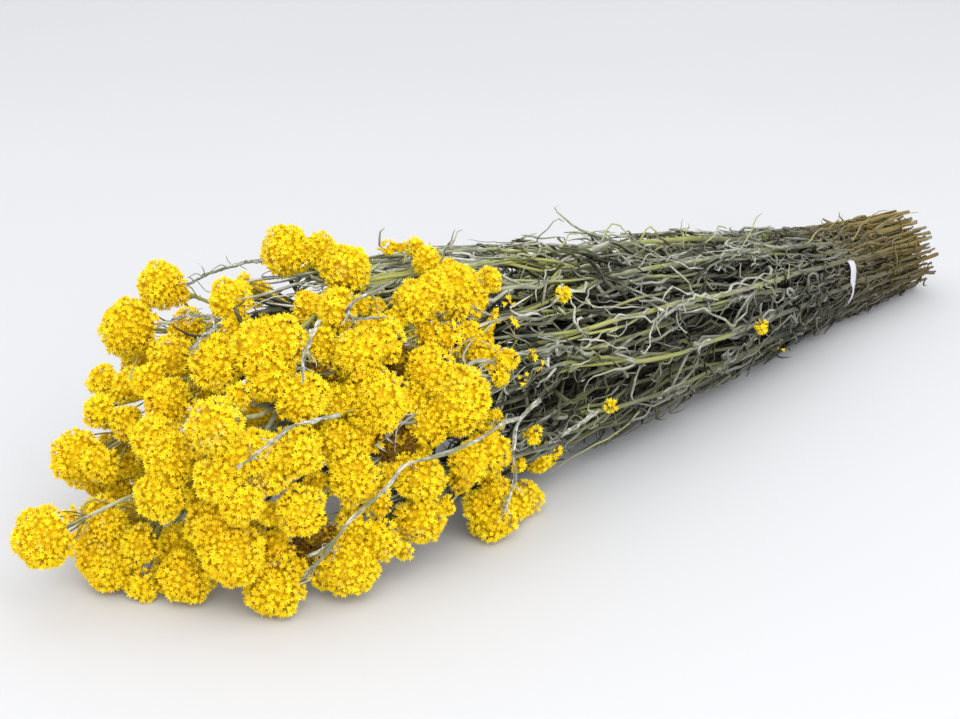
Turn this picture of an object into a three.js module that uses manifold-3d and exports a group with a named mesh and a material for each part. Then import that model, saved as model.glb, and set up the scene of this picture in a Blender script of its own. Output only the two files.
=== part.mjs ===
// A tied bunch of dried yellow everlasting flowers, lying on its side on a flat surface.
// Units are millimetres and +Z is up. The bunch lies along X: the flower heads are at -X and the
// cut ends of the stems at +X. The origin is under the middle of the whole bunch, on the surface.
//
// While it is built, a place is given from the tie that holds the stems: how far ahead of the tie
// (towards the flowers), how far to the side, and how high above the surface.

import * as THREE from "three";
import { mergeVertices } from "three/addons/utils/BufferGeometryUtils.js";
import Module from "manifold-3d";

// Stems
const stemRadius = 1.5;
const branchRadius = 1.1;
const stemSides = 6;
const stemSteps = 15;
const branchSteps = 7;
const cutEndBehindTie = 84; // how far the longest stems reach behind the tie
const cutEndStagger = 7; // how much shorter the shortest ones are cut
const cutEndTurn = 2.4; // radians that the stagger's wave turns from one stem to the next
const forkLead = 52; // a side branch leaves its stem this far behind its flowers
const forkEase = 0.35; // share of a branch's length over which it eases out of its stem
const approachLength = 50; // the last stretch of a stem, which turns out towards its flowers
const turnInward = 0.2; // how far that stretch starts inside the line of the first flowers
const turnDeeper = 0.0012; // how much further inside, for each millimetre that its flowers are ahead of those
const firstFlowers = 230; // ahead of the tie

// The tie
const tieSide = 5; // the bunch lies a little bent, so its middle moves sideways along it
const ringSpacing = 10.5; // from one ring of tied stems to the next
const innerRingStems = 6;
const outerRingStems = 12;
const bandThickness = 1.2;
const bandWidth = 3;
const bandSegments = 36;
const pieceGap = 0.3; // between pieces that touch
const bandInnerRadius = 2 * ringSpacing + stemRadius + 2 * pieceGap;
const tieHeight = bandInnerRadius + bandThickness; // the band rests on the surface

// The middle of the bunch behind the tie, where it swells, and among the flowers. The spread is how
// much wider the stems stand there than in the tie.
const cutEnds = { side: 10, height: 20, spread: 0.86 };
const tie = { ahead: 0, side: tieSide, height: tieHeight, spread: 1 };
const belly = { ahead: 170, side: -15, height: 41, spread: 1.62 };
const crown = { side: -10, height: 45 };

// The few leaves that are worked out here stand out from the outer stems, where there is room
const leafPlaces = [48, 88, 132]; // ahead of the tie
const leafStagger = 13; // further ahead on some stems than on others
const leafTurn = 1.9; // radians that this stagger's wave turns from one stem to the next
const leafLength = 24;
const leafBend = 0.6; // share of the length at which a leaf bends outwards
const leafLift = 6.5; // how far a leaf's tip stands out
const leafWidth = 2.2;
const leafThickness = 0.8;
const leafSteps = 4;
const lowestLeafAngle = -0.2; // leaves stand out from the stems of the upper side and the flanks
const highestLeafAngle = 3.5;

// Loose woolly twigs that lie on the flowers
const twigRadius = 1.3;
const twigSteps = 12;
const forkSteps = 3;

// Flower lobes
const largeLobeRadius = 9.5; // lobes of this size and more get the finer surface
const fineDetail = 2;
const plainDetail = 1;
const lumpDepth = 0.03; // share of the radius
const lumpWaves = 5;

// How finely shapes are searched and merged
const placeSearch = 200; // points tried along a stem to find where something leaves it
const pointsPerStep = 10; // points taken along each step of a stem, to find what it passes
const mergeDistance = 1e-3;

// Finishes
const flowerRoughness = 0.85;
const stemRoughness = 0.9;
const bandRoughness = 0.6;
const colours = { flower: "#e3b81c", stem: "#8b8b6e", twig: "#a8a695", band: "#f1f1ee" };

const wasm = await Module();
wasm.setup();

// A place given as distance ahead of the tie, to the side, and above the surface.
function place(ahead, side, height) {
  return new THREE.Vector3(-ahead, side, height);
}

// One round lobe of a flower head: its middle and its radius.
function lobe(ahead, side, height, radius) {
  return { middle: place(ahead, side, height), radius };
}

// A place in the tied stems: the nth of a ring of stems round the tie's middle.
function tied(ring, nth) {
  const count = ring === 1 ? innerRingStems : outerRingStems;
  const angle = ((nth + (ring === 1 ? 0.5 : 0)) / count) * 2 * Math.PI;
  return { reach: ring * ringSpacing, angle };
}

// The flowering stems, by where they lie in the tie, each with its flower heads. A head is a list
// of lobes that have grown together.
const floweringStems = [
  // Top of the crown, far side
  {
    at: tied(2, 1),
    heads: [[lobe(343, 38, 72, 10)], [lobe(332, 34, 86, 9)]],
  },
  {
    at: tied(2, 2),
    heads: [
      [lobe(305, -1, 100, 9.5), lobe(297, -9, 100, 7)],
      [lobe(297, -23, 97, 8)],
    ],
  },
  // Top of the crown, near side
  {
    at: tied(2, 3),
    heads: [
      [
        lobe(265, -38, 86, 11),
        lobe(288, -48, 90, 7.5),
        lobe(277, -43, 89, 8),
        lobe(254, -36, 79, 8.5),
        lobe(247, -39, 86, 5.5),
      ],
      [lobe(271, -14, 97, 5), lobe(266, -22, 98, 6)],
    ],
  },
  {
    at: tied(2, 4),
    heads: [
      [lobe(304, -47, 80, 8), lobe(316, -51, 80, 7)],
      [lobe(312, -36, 89, 7), lobe(316, -27, 89, 5)],
    ],
  },
  {
    at: tied(2, 5),
    heads: [
      [lobe(313, -55, 64, 10.5)],
      [lobe(252, -47, 60, 7.5), lobe(255, -42, 67, 8), lobe(249, -41, 74, 6)],
    ],
  },
  // Near side
  {
    at: tied(2, 6),
    heads: [
      [lobe(281, -57, 56, 12), lobe(289, -54, 67, 8.5), lobe(291, -53, 50, 9)],
      [lobe(272, -64, 38, 7.5), lobe(283, -67, 38, 6)],
    ],
  },
  {
    at: tied(2, 7),
    heads: [[lobe(348, -60, 38, 7.5)], [lobe(326, -57, 42, 9)]],
  },
  {
    at: tied(2, 8),
    heads: [
      [lobe(299, -61, 34, 8), lobe(300, -61, 20, 8)],
      [lobe(229, -42, 24, 5), lobe(229, -45, 16, 5.5), lobe(222, -41, 14, 5.5)],
    ],
  },
  {
    at: tied(2, 9),
    heads: [
      [lobe(328, -58, 12, 9.5), lobe(317, -60, 18, 7), lobe(334, -52, 9, 5)],
      [lobe(264, -58, 8, 8), lobe(264, -59, 19, 5.5), lobe(252, -55, 8, 6), lobe(242, -52, 7, 6)],
    ],
  },
  {
    at: tied(2, 10),
    heads: [
      [lobe(366, -39, 32, 8.5), lobe(364, -46, 24, 10), lobe(351, -40, 22, 7)],
      [lobe(352, -50, 9, 9)],
    ],
  },
  // Far side
  {
    at: tied(2, 11),
    heads: [
      [lobe(330, 42, 12, 11), lobe(314, 36, 10, 9)],
      [lobe(290, 44, 16, 9), lobe(276, 40, 11, 8)],
    ],
  },
  {
    at: tied(2, 0),
    heads: [
      [lobe(318, 50, 44, 11), lobe(302, 52, 52, 9), lobe(332, 48, 54, 8)],
      [lobe(284, 44, 70, 10), lobe(272, 41, 62, 8), lobe(293, 40, 77, 8)],
    ],
  },
  // Middle of the bunch, which reaches furthest ahead
  {
    at: tied(1, 0),
    heads: [
      [lobe(366, 23, 52, 7), lobe(362, 13, 50, 7), lobe(359, 31, 59, 6.5), lobe(356, 21, 59, 7)],
      [lobe(375, 23, 38, 10), lobe(376, 8, 41, 7)],
    ],
  },
  {
    at: tied(1, 1),
    heads: [
      [lobe(357, -5, 61, 8), lobe(347, 8, 70, 7), lobe(357, 6, 65, 6)],
      [lobe(332, -6, 90, 8), lobe(335, -13, 82, 6)],
    ],
  },
  {
    at: tied(1, 2),
    heads: [
      [lobe(351, -24, 78, 8.5)],
      [lobe(337, -38, 85, 8.5), lobe(342, -40, 75, 8), lobe(338, -50, 70, 8)],
    ],
  },
  {
    at: tied(1, 3),
    heads: [
      [lobe(371, -50, 70, 8)],
      [lobe(359, -55, 60, 6.5), lobe(346, -56, 56, 8), lobe(355, -54, 50, 6)],
    ],
  },
  {
    at: tied(1, 4),
    heads: [
      [lobe(380, 2, 24, 8), lobe(380, 2, 11, 10), lobe(375, -10, 18, 6.5)],
      [lobe(362, -14, 14, 8), lobe(367, -24, 9, 8.5)],
    ],
  },
  {
    at: tied(1, 5),
    heads: [[lobe(406, -5, 29, 9.5)], [lobe(362, 34, 22, 10), lobe(353, 41, 29, 9)]],
  },
  {
    at: tied(0, 0),
    heads: [
      [lobe(372, -18, 56, 7.5), lobe(372, -27, 52, 9), lobe(377, -28, 42, 8)],
      [lobe(372, -51, 53, 7), lobe(366, -54, 45, 7)],
    ],
  },
];

// The loose twigs: each is a list of routes, the first its whole length and the others its forks.
const woollyTwigs = [
  [
    [
      place(320, -58, 62),
      place(330, -60, 65),
      place(339, -60, 67),
      place(349, -62, 68),
      place(359, -63, 66),
      place(366, -61, 63),
      place(371, -60, 60),
    ],
  ],
  [
    [
      place(240, -48, 37),
      place(260, -60, 43),
      place(281, -69, 46),
      place(295, -68, 44),
      place(306, -64, 42),
      place(314, -64, 39),
      place(323, -66, 35),
      place(331, -65, 30),
      place(335, -63, 25),
      place(341, -61, 20),
      place(347, -61, 16),
    ],
    [place(335, -63, 25), place(340, -58, 20), place(343, -53, 18)],
  ],
];

// A closed geometry as a solid that can be joined and cut.
function solidFrom(geometry) {
  const plain = geometry.clone();
  plain.deleteAttribute("normal");
  plain.deleteAttribute("uv");
  const merged = mergeVertices(plain, mergeDistance);
  return new wasm.Manifold(
    new wasm.Mesh({
      numProp: 3,
      vertProperties: merged.attributes.position.array,
      triVerts: new Uint32Array(merged.index.array),
    }),
  );
}

// The geometry of a joined solid.
function geometryFrom(solid) {
  const { numProp, numVert, vertProperties, triVerts } = solid.getMesh();
  const positions = new Float32Array(numVert * 3);
  for (let i = 0; i < numVert; i++) {
    positions.set(vertProperties.subarray(i * numProp, i * numProp + 3), i * 3);
  }
  const geometry = new THREE.BufferGeometry();
  geometry.setAttribute("position", new THREE.BufferAttribute(positions, 3));
  geometry.setIndex(new THREE.BufferAttribute(triVerts, 1));
  geometry.computeVertexNormals();
  return geometry;
}

function joined(parts) {
  return parts.reduce((whole, part) => whole.add(part));
}

// A round stem of the given radius along a curve.
function tube(curve, radius, steps) {
  const section = new THREE.Shape();
  for (let i = 0; i < stemSides; i++) {
    const angle = (i / stemSides) * 2 * Math.PI;
    const x = radius * Math.cos(angle);
    const y = radius * Math.sin(angle);
    if (i === 0) section.moveTo(x, y);
    else section.lineTo(x, y);
  }
  return new THREE.ExtrudeGeometry(section, { steps, bevelEnabled: false, extrudePath: curve });
}

// Where a stem runs through one of the bunch's stations.
function stationPlace({ reach, angle }, { ahead, side, height, spread }) {
  return place(ahead, side + spread * reach * Math.cos(angle), height + spread * reach * Math.sin(angle));
}

function middleOf(head) {
  const sum = new THREE.Vector3();
  for (const { middle } of head) sum.add(middle);
  return sum.divideScalar(head.length);
}

// A share from 0 to 1 that differs from one stem to the next.
function stagger(index, turn) {
  return 0.5 + 0.5 * Math.sin(turn * index);
}

// The point where a stem turns out towards a head: behind it, and part of the way in to the middle.
function turningPoint(head) {
  const middle = middleOf(head);
  const inward = place(-middle.x, crown.side, crown.height);
  const share = turnInward + turnDeeper * (-middle.x - firstFlowers);
  return middle.lerp(inward, share).setX(inward.x + approachLength);
}

// The curve of a main stem, from its cut end through the tie to the middle of its first head.
function stemCurve({ at, heads }, index) {
  const cut = cutEndBehindTie - cutEndStagger * stagger(index, cutEndTurn);
  const turn = turningPoint(heads[0]);
  return new THREE.CatmullRomCurve3([
    stationPlace(at, { ahead: -cut, ...cutEnds }),
    stationPlace(at, tie),
    stationPlace(at, belly),
    turn,
    middleOf(heads[0]),
  ]);
}

// The share of a stem's length at which it is a given distance ahead of the tie.
function shareAhead(curve, ahead) {
  return curve.getSpacedPoints(placeSearch).findIndex((point) => -point.x > ahead) / placeSearch;
}

// The curve of a side branch, which leaves the main stem at the fork.
function branchCurve(main, head) {
  const share = shareAhead(main, -middleOf(head).x - forkLead);
  const fork = main.getPointAt(share);
  const along = main.getTangentAt(share);
  const end = middleOf(head);
  const length = fork.distanceTo(end);
  return new THREE.CubicBezierCurve3(
    fork,
    fork.clone().addScaledVector(along, length * forkEase),
    end.clone().lerp(fork, forkEase),
    end,
  );
}

// A flat limit that a lobe may not cross: points beyond `distance` along `normal` are drawn back.
function limitTowards(lobeMiddle, point, clearance) {
  const normal = point.clone().sub(lobeMiddle);
  const distance = normal.length() - clearance;
  return { normal: normal.normalize(), distance };
}

// Heads that press on each other meet in a flat face, half a gap on each side of it.
function limitsFromHeads(part, otherHeads) {
  const limits = [];
  for (const other of otherHeads.flat()) {
    const apart = part.middle.distanceTo(other.middle);
    if (apart >= part.radius + other.radius + pieceGap) continue;
    const share = (apart * apart + part.radius ** 2 - other.radius ** 2) / (2 * apart);
    limits.push(limitTowards(part.middle, other.middle, apart - share + pieceGap / 2));
  }
  return limits;
}

// Stems that run past a lobe press it in. The stem that ends in the head itself does not.
function limitsFromStems(part, head, runs) {
  const limits = [];
  for (const { points, radius, endsAt } of runs) {
    if (endsAt === head) continue;
    for (const point of points) {
      const clear = part.middle.distanceTo(point) > part.radius + radius + pieceGap;
      if (!clear) limits.push(limitTowards(part.middle, point, radius + pieceGap));
    }
  }
  return limits;
}

// A lumpy ball, drawn in where a limit crosses it, and grown outwards by a margin.
function lobeSurface({ middle, radius }, limits, margin) {
  const detail = radius >= largeLobeRadius ? fineDetail : plainDetail;
  const geometry = new THREE.IcosahedronGeometry(1, detail);
  const positions = geometry.attributes.position;
  const direction = new THREE.Vector3();
  for (let i = 0; i < positions.count; i++) {
    direction.fromBufferAttribute(positions, i).normalize();
    const waveX = Math.sin(lumpWaves * direction.x + middle.x);
    const waveY = Math.sin(lumpWaves * direction.y + middle.y);
    const waveZ = Math.sin(lumpWaves * direction.z);
    let reach = radius * (1 - lumpDepth * (1 + waveX * waveY * waveZ));
    for (const { normal, distance } of limits) {
      const towards = direction.dot(normal);
      if (towards * reach > distance) reach = distance / towards;
    }
    direction.multiplyScalar(reach + margin).add(middle);
    positions.setXYZ(i, direction.x, direction.y, direction.z);
  }
  return geometry;
}

// The band round the tied stems: a short ring about the X axis.
function bandGeometry() {
  const outer = bandInnerRadius + bandThickness;
  const half = bandWidth / 2;
  const profile = [
    new THREE.Vector2(bandInnerRadius, -half),
    new THREE.Vector2(outer, -half),
    new THREE.Vector2(outer, half),
    new THREE.Vector2(bandInnerRadius, half),
    new THREE.Vector2(bandInnerRadius, -half),
  ];
  return new THREE.LatheGeometry(profile, bandSegments).rotateZ(Math.PI / 2);
}

function numbered(name, number) {
  return `${name}_${String(number).padStart(2, "0")}`;
}

function material(color, roughness) {
  return new THREE.MeshStandardMaterial({ color, roughness, metalness: 0 });
}

// A flat leaf that leaves a stem, runs on beside it and lifts its tip away from the bunch's middle.
function leaf(main, at, ahead) {
  const share = shareAhead(main, ahead);
  const foot = main.getPointAt(share);
  const along = main.getTangentAt(share);
  const outward = new THREE.Vector3(0, Math.cos(at.angle), Math.sin(at.angle));
  const curve = new THREE.QuadraticBezierCurve3(
    foot,
    foot.clone().addScaledVector(along, leafLength * leafBend),
    foot.clone().addScaledVector(along, leafLength).addScaledVector(outward, leafLift),
  );
  const section = new THREE.Shape();
  section.moveTo(-leafThickness / 2, -leafWidth / 2);
  section.lineTo(leafThickness / 2, -leafWidth / 2);
  section.lineTo(leafThickness / 2, leafWidth / 2);
  section.lineTo(-leafThickness / 2, leafWidth / 2);
  return new THREE.ExtrudeGeometry(section, { steps: leafSteps, bevelEnabled: false, extrudePath: curve });
}

// The leaves of a stem: only outer stems that do not lie low have room for them.
function leavesOf({ at }, index, main) {
  const outer = at.reach > ringSpacing;
  if (!outer || at.angle > highestLeafAngle || at.angle < lowestLeafAngle) return [];
  const further = leafStagger * stagger(index, leafTurn);
  return leafPlaces.map((ahead) => leaf(main, at, ahead + further));
}

// Points along the straight steps that a curve is made of.
function pointsAlong(curve, steps) {
  const corners = curve.getSpacedPoints(steps);
  const points = [];
  for (let i = 0; i < steps; i++) {
    for (let j = 0; j < pointsPerStep; j++) {
      points.push(corners[i].clone().lerp(corners[i + 1], j / pointsPerStep));
    }
  }
  return [...points, corners[steps]];
}

// Every run of stem: its curve, the points along it, and the head that it ends at.
function runsOf(stem, index) {
  const main = stemCurve(stem, index);
  const runs = [{ curve: main, radius: stemRadius, steps: stemSteps, endsAt: stem.heads[0] }];
  for (const head of stem.heads.slice(1)) {
    runs.push({ curve: branchCurve(main, head), radius: branchRadius, steps: branchSteps, endsAt: head });
  }
  for (const run of runs) run.points = pointsAlong(run.curve, run.steps);
  return runs;
}

// The runs of a loose twig, which end at no head.
function twigRunsOf(routes) {
  return routes.map((route, index) => {
    const curve = new THREE.CatmullRomCurve3(route);
    const steps = index === 0 ? twigSteps : forkSteps;
    return { curve, radius: twigRadius, steps, points: pointsAlong(curve, steps) };
  });
}

const runsByStem = floweringStems.map(runsOf);
const runsByTwig = woollyTwigs.map(twigRunsOf);
const allRuns = [...runsByStem, ...runsByTwig].flat();
const allHeads = floweringStems.flatMap(({ heads }) => heads);
const bunch = new THREE.Group();

// A flower head as one solid, grown outwards by a margin.
function headSolid(head, margin) {
  const others = allHeads.filter((other) => other !== head);
  const lobes = head.map((part) => {
    const limits = [...limitsFromHeads(part, others), ...limitsFromStems(part, head, allRuns)];
    return solidFrom(lobeSurface(part, limits, margin));
  });
  return joined(lobes);
}

// A stem with its branches and leaves, cut off where its own heads begin.
function stemSolid(stem, index) {
  const runs = runsByStem[index];
  const tubes = runs.map(({ curve, radius, steps }) => tube(curve, radius, steps));
  const whole = joined([...tubes, ...leavesOf(stem, index, runs[0].curve)].map(solidFrom));
  const cut = stem.heads.reduce((rest, head) => rest.subtract(headSolid(head, pieceGap)), whole);
  const bodies = cut.decompose();
  return bodies.reduce((largest, body) => (body.volume() > largest.volume() ? body : largest));
}

floweringStems.forEach((stem, index) => {
  const geometry = geometryFrom(stemSolid(stem, index));
  const mesh = new THREE.Mesh(geometry, material(colours.stem, stemRoughness));
  mesh.name = numbered("flowering_stem", index + 1);
  bunch.add(mesh);
});

allHeads.forEach((head, index) => {
  const mesh = new THREE.Mesh(geometryFrom(headSolid(head, 0)), material(colours.flower, flowerRoughness));
  mesh.name = numbered("flower_head", index + 1);
  bunch.add(mesh);
});

runsByTwig.forEach((runs, index) => {
  const tubes = runs.map(({ curve, radius, steps }) => solidFrom(tube(curve, radius, steps)));
  const mesh = new THREE.Mesh(geometryFrom(joined(tubes)), material(colours.twig, stemRoughness));
  mesh.name = numbered("woolly_twig", index + 1);
  bunch.add(mesh);
});

const band = new THREE.Mesh(bandGeometry(), material(colours.band, bandRoughness));
band.name = "tie_band";
band.position.copy(place(0, tieSide, tieHeight));
bunch.add(band);

// Set the origin under the middle of the whole bunch.
const extent = new THREE.Box3().setFromObject(bunch, true);
const middle = extent.getCenter(new THREE.Vector3());
bunch.position.set(-middle.x, -middle.y, -extent.min.z);

export default bunch;
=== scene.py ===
"""The looks of a tied bunch of dried yellow everlasting flowers that lies on its side.

Shapes are worked out in millimetres in the bunch's own frame: +X runs from the flowers to the cut
ends, +Z is up, and the surface that it lies on is at height 0. A place along the bunch is also given
from the tie: how far ahead of it (towards the flowers), how far to the side, and how high.
"""

import logging
import math
from dataclasses import dataclass, field
from enum import Enum

import bpy
import numpy as np
from mathutils.bvhtree import BVHTree
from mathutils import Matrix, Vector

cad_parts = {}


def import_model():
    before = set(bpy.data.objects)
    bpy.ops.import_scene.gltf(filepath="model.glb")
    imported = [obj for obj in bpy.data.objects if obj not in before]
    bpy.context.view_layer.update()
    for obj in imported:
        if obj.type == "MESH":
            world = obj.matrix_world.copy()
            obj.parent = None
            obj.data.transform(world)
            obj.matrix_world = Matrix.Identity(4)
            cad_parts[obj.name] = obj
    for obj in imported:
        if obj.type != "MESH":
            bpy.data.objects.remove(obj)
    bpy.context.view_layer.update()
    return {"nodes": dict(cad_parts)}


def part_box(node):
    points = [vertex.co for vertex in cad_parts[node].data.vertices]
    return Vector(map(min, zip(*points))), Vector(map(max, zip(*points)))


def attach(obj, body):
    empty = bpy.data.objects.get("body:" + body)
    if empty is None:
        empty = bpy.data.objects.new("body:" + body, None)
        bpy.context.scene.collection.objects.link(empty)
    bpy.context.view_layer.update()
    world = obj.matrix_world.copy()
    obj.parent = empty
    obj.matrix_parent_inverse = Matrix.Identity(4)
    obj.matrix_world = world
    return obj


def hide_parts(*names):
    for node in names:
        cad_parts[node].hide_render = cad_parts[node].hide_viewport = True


Array = np.ndarray
Random = np.random.Generator
Socket = bpy.types.NodeSocket
Material = bpy.types.Material
Inputs = dict[str | int, object]
Stops = list[tuple[float, str]]
Pair = tuple[float, float]
Triple = tuple[float, float, float]
Quad = tuple[float, float, float, float]
Pixel = Pair
Route = tuple[Pixel, ...]

MM = 0.001
# The least lengths that anything is divided by
TINY = 1e-9
SMALL = 1e-6
UP = np.array([[[0.0, 0.0, 1.0]]])
log = logging.getLogger("bunch")


class Slot(Enum):
    """Names of material slots."""

    FLOWERS = "flowers"
    STEMS = "stems"
    LEAVES = "leaves"
    CUT_ENDS = "cut_ends"
    BAND = "band"


# Small tools for arrays


def unit(vectors: Array) -> Array:
    """Scales vectors to length 1 along their last axis."""
    return vectors / np.maximum(np.linalg.norm(vectors, axis=-1, keepdims=True), TINY)


def blend(start: Array, end: Array, share: Array) -> Array:
    """Goes straight from start to end as the share goes from 0 to 1."""
    return start + (end - start) * share


def smooth_step(value: Array) -> Array:
    """Eases from 0 to 1: three squares less two cubes of the clipped value."""
    clipped = np.clip(value, 0.0, 1.0)
    return clipped * clipped * (3.0 - 2.0 * clipped)


def curve_through(controls: Array, count: int) -> Array:
    """Runs smooth curves through rows of control points.

    Each stretch between two controls is a cubic that meets both, with end slopes from their
    neighbours, weighted by the square root of the distances between them.

    Args:
        controls: Points, (curves, controls, 3).
        count: How many points each curve gets, evenly spread over its stretches.

    Returns:
        Points, (curves, count, 3).
    """
    before = 2 * controls[:, :1] - controls[:, 1:2]
    after = 2 * controls[:, -1:] - controls[:, -2:-1]
    padded = np.concatenate([before, controls, after], axis=1)
    gaps = np.sqrt(np.linalg.norm(np.diff(padded, axis=1), axis=2, keepdims=True))
    gaps = np.maximum(gaps, SMALL)
    stretches = controls.shape[1] - 1
    where = np.linspace(0, stretches, count)
    first = np.minimum(where.astype(int), stretches - 1)
    share = (where - first)[None, :, None]
    p0, p1, p2, p3 = (padded[:, first + step] for step in range(4))
    d0, d1, d2 = (gaps[:, first + step] for step in range(3))
    slope1 = ((p1 - p0) / d0 - (p2 - p0) / (d0 + d1) + (p2 - p1) / d1) * d1
    slope2 = ((p2 - p1) / d1 - (p3 - p1) / (d1 + d2) + (p3 - p2) / d2) * d1
    square, cube = share**2, share**3
    return (
        (2 * cube - 3 * square + 1) * p1
        + (cube - 2 * square + share) * slope1
        + (3 * square - 2 * cube) * p2
        + (cube - square) * slope2
    )


def ripple(rng: Random, count: int, along: Array, waves: tuple[float, ...]) -> Array:
    """Makes a smooth random wander for each of many strands.

    It is a sum of sines with random phases, the slower the larger.

    Args:
        rng: Source of the phases.
        count: How many strands.
        along: Places along a strand, (points,).
        waves: Waves per unit of along, slowest first.

    Returns:
        Offsets, (count, points, 3), about 1 at their largest.
    """
    total = np.zeros((count, along.size, 3))
    for rank, wave in enumerate(waves):
        phase = rng.uniform(0, 2 * np.pi, (count, 1, 3))
        total += np.sin(2 * np.pi * wave * along[None, :, None] + phase) / (rank + 1)
    return total / sum(1 / (rank + 1) for rank in range(len(waves)))


def thinned(points: Array, spacing: float, rng: Random, rounds: int = 7) -> Array:
    """Chooses points that stand no closer together than the spacing.

    Every point has a random rank. In each round the open points that outrank all open points near
    them are kept, and those near them are closed.

    Args:
        points: Candidates, (n, 2 or 3).
        spacing: The least distance.
        rng: Source of the ranks.
        rounds: How many rounds.

    Returns:
        The indices of the kept points.
    """
    count = len(points)
    if count == 0:
        return np.empty(0, int)
    light = points.astype(np.float32)
    squares = (light**2).sum(1)
    near = squares[:, None] + squares[None, :] - 2 * light @ light.T < spacing**2
    near[np.arange(count), np.arange(count)] = True
    rank = rng.permutation(count).astype(np.int32)
    is_open = np.ones(count, bool)
    kept = np.zeros(count, bool)
    for _ in range(rounds):
        rivals = np.where(near & is_open[None, :], rank[None, :], count).min(axis=1)
        chosen = is_open & (rivals >= rank)
        kept |= chosen
        is_open &= ~near[:, chosen].any(axis=1)
    return np.flatnonzero(kept)


@dataclass
class Surface:
    """A mesh in millimetres: points, triangles, and a number at each point for every named value."""

    points: Array
    faces: Array
    values: dict[str, Array] = field(default_factory=dict)

    def normals(self) -> Array:
        """Gives each point the mean direction of the faces round it, weighted by their areas.

        Returns:
            Directions, (points, 3).
        """
        a, b, c = (self.points[self.faces[:, corner]] for corner in range(3))
        flat = np.cross(b - a, c - a)
        total = np.zeros_like(self.points)
        for corner in range(3):
            np.add.at(total, self.faces[:, corner], flat)
        return unit(total)

    def middle(self) -> Array:
        """Gives the mean of the points."""
        return self.points.mean(axis=0)

    def radius(self) -> float:
        """Gives the mean distance of the points from their middle."""
        return float(np.linalg.norm(self.points - self.middle(), axis=1).mean())

    def grown(self, distance: float) -> "Surface":
        """Moves every point outwards along its normal."""
        return Surface(self.points + distance * self.normals(), self.faces)

    def lit(self, outer: float) -> "Surface":
        """Gives every point the same value outer."""
        self.values["outer"] = np.full(len(self.points), outer)
        return self

    def section_middle(self, x: float) -> Array:
        """Finds the middle of a cross-section: the median of where edges cross its plane.

        Args:
            x: Where the plane stands along the bunch.

        Returns:
            The point.
        """
        edges = np.concatenate([self.faces[:, pair] for pair in ([0, 1], [1, 2], [2, 0])])
        start, end = self.points[edges[:, 0]], self.points[edges[:, 1]]
        crosses = (start[:, 0] - x) * (end[:, 0] - x) < 0
        start, end = start[crosses], end[crosses]
        share = ((x - start[:, 0]) / (end[:, 0] - start[:, 0]))[:, None]
        return np.median(blend(start, end, share), axis=0)

    def tree(self) -> BVHTree:
        """Makes the surface's search tree."""
        return BVHTree.FromPolygons(self.points.tolist(), self.faces.tolist())


# Surfaces, each with its finish
Finished = list[tuple[Surface, object]]


def join(parts: list[Surface]) -> Surface:
    """Puts surfaces together in one mesh.

    Args:
        parts: The surfaces.

    Returns:
        The whole; a value that one of the parts lacks is 0 there.
    """
    starts = np.cumsum([0] + [len(part.points) for part in parts[:-1]])
    values = {}
    for name in sorted(set().union(*(part.values for part in parts))):
        rows = [part.values.get(name, np.zeros(len(part.points))) for part in parts]
        values[name] = np.concatenate(rows)
    points = np.concatenate([part.points for part in parts])
    faces = np.concatenate([part.faces + start for part, start in zip(parts, starts)])
    return Surface(points, faces, values)


def cells(rings: int, sides: int) -> list[Array]:
    """Numbers the cells' corners between rings: two on a cell's first ring, then two on its next."""
    first = np.arange((rings - 1) * sides).reshape(-1, sides)
    return [corner + step for step in (0, sides) for corner in (first, np.roll(first, -1, axis=1))]


def fan(pole: int, first: int, sides: int, turned: bool = False) -> Array:
    """Joins a pole to every edge of the ring of points that starts at the first, turned or not."""
    edge = [first + np.arange(sides), first + np.roll(np.arange(sides), -1)]
    return np.stack([np.full(sides, pole), *(edge[::-1] if turned else edge)], -1)


def repeated(faces: Array, count: int, each: int) -> Array:
    """Numbers the faces of many equal meshes, which have so many points each."""
    return (faces[None] + (np.arange(count) * each)[:, None, None]).reshape(-1, 3)


def sweep(paths: Array, widths: Array, depths: Array, across: Array, sides: int, tones: Array) -> Surface:
    """Carries an ellipse along many paths at once and closes both ends.

    The width direction is the given one less its part along the path, and the depth direction is
    square to both. A corner stands at cosine times the half width and sine times the half depth.

    Args:
        paths: Points, (strands, stations, 3).
        widths: Half widths, (strands, stations).
        depths: Half depths, (strands, stations).
        across: Width directions, (strands, stations, 3) or (strands, 1, 3).
        sides: Corners of the section.
        tones: Each strand's number, which its material turns to a shade.

    Returns:
        The closed strands, with their tone and how far along them each point is.
    """
    strands, stations, _ = paths.shape
    tangent = unit(np.gradient(paths, axis=1))
    wide = unit(across - (across * tangent).sum(-1, keepdims=True) * tangent)
    deep = np.cross(tangent, wide)
    angles = np.arange(sides) * 2 * np.pi / sides
    ring = (
        np.cos(angles)[None, None, :, None] * (widths[..., None] * wide)[:, :, None]
        + np.sin(angles)[None, None, :, None] * (depths[..., None] * deep)[:, :, None]
    )
    walls = (paths[:, :, None] + ring).reshape(strands, stations * sides, 3)
    points = np.concatenate([walls, paths[:, :1], paths[:, -1:]], axis=1)
    per_strand = stations * sides + 2

    a, b, c, d = cells(stations, sides)
    wall = np.concatenate([np.stack([a, b, d], -1), np.stack([a, d, c], -1)]).reshape(-1, 3)
    foot = fan(stations * sides, 0, sides, turned=True)
    tip = fan(stations * sides + 1, (stations - 1) * sides, sides)
    faces = repeated(np.concatenate([wall, foot, tip]), strands, per_strand)

    share = np.repeat(np.linspace(0, 1, stations), sides)
    along = np.tile(np.concatenate([share, [0.0, 1.0]]), strands)
    values = {"along": along, "tone": np.repeat(tones, per_strand)}
    return Surface(points.reshape(-1, 3), faces, values)


# Finishes


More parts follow.
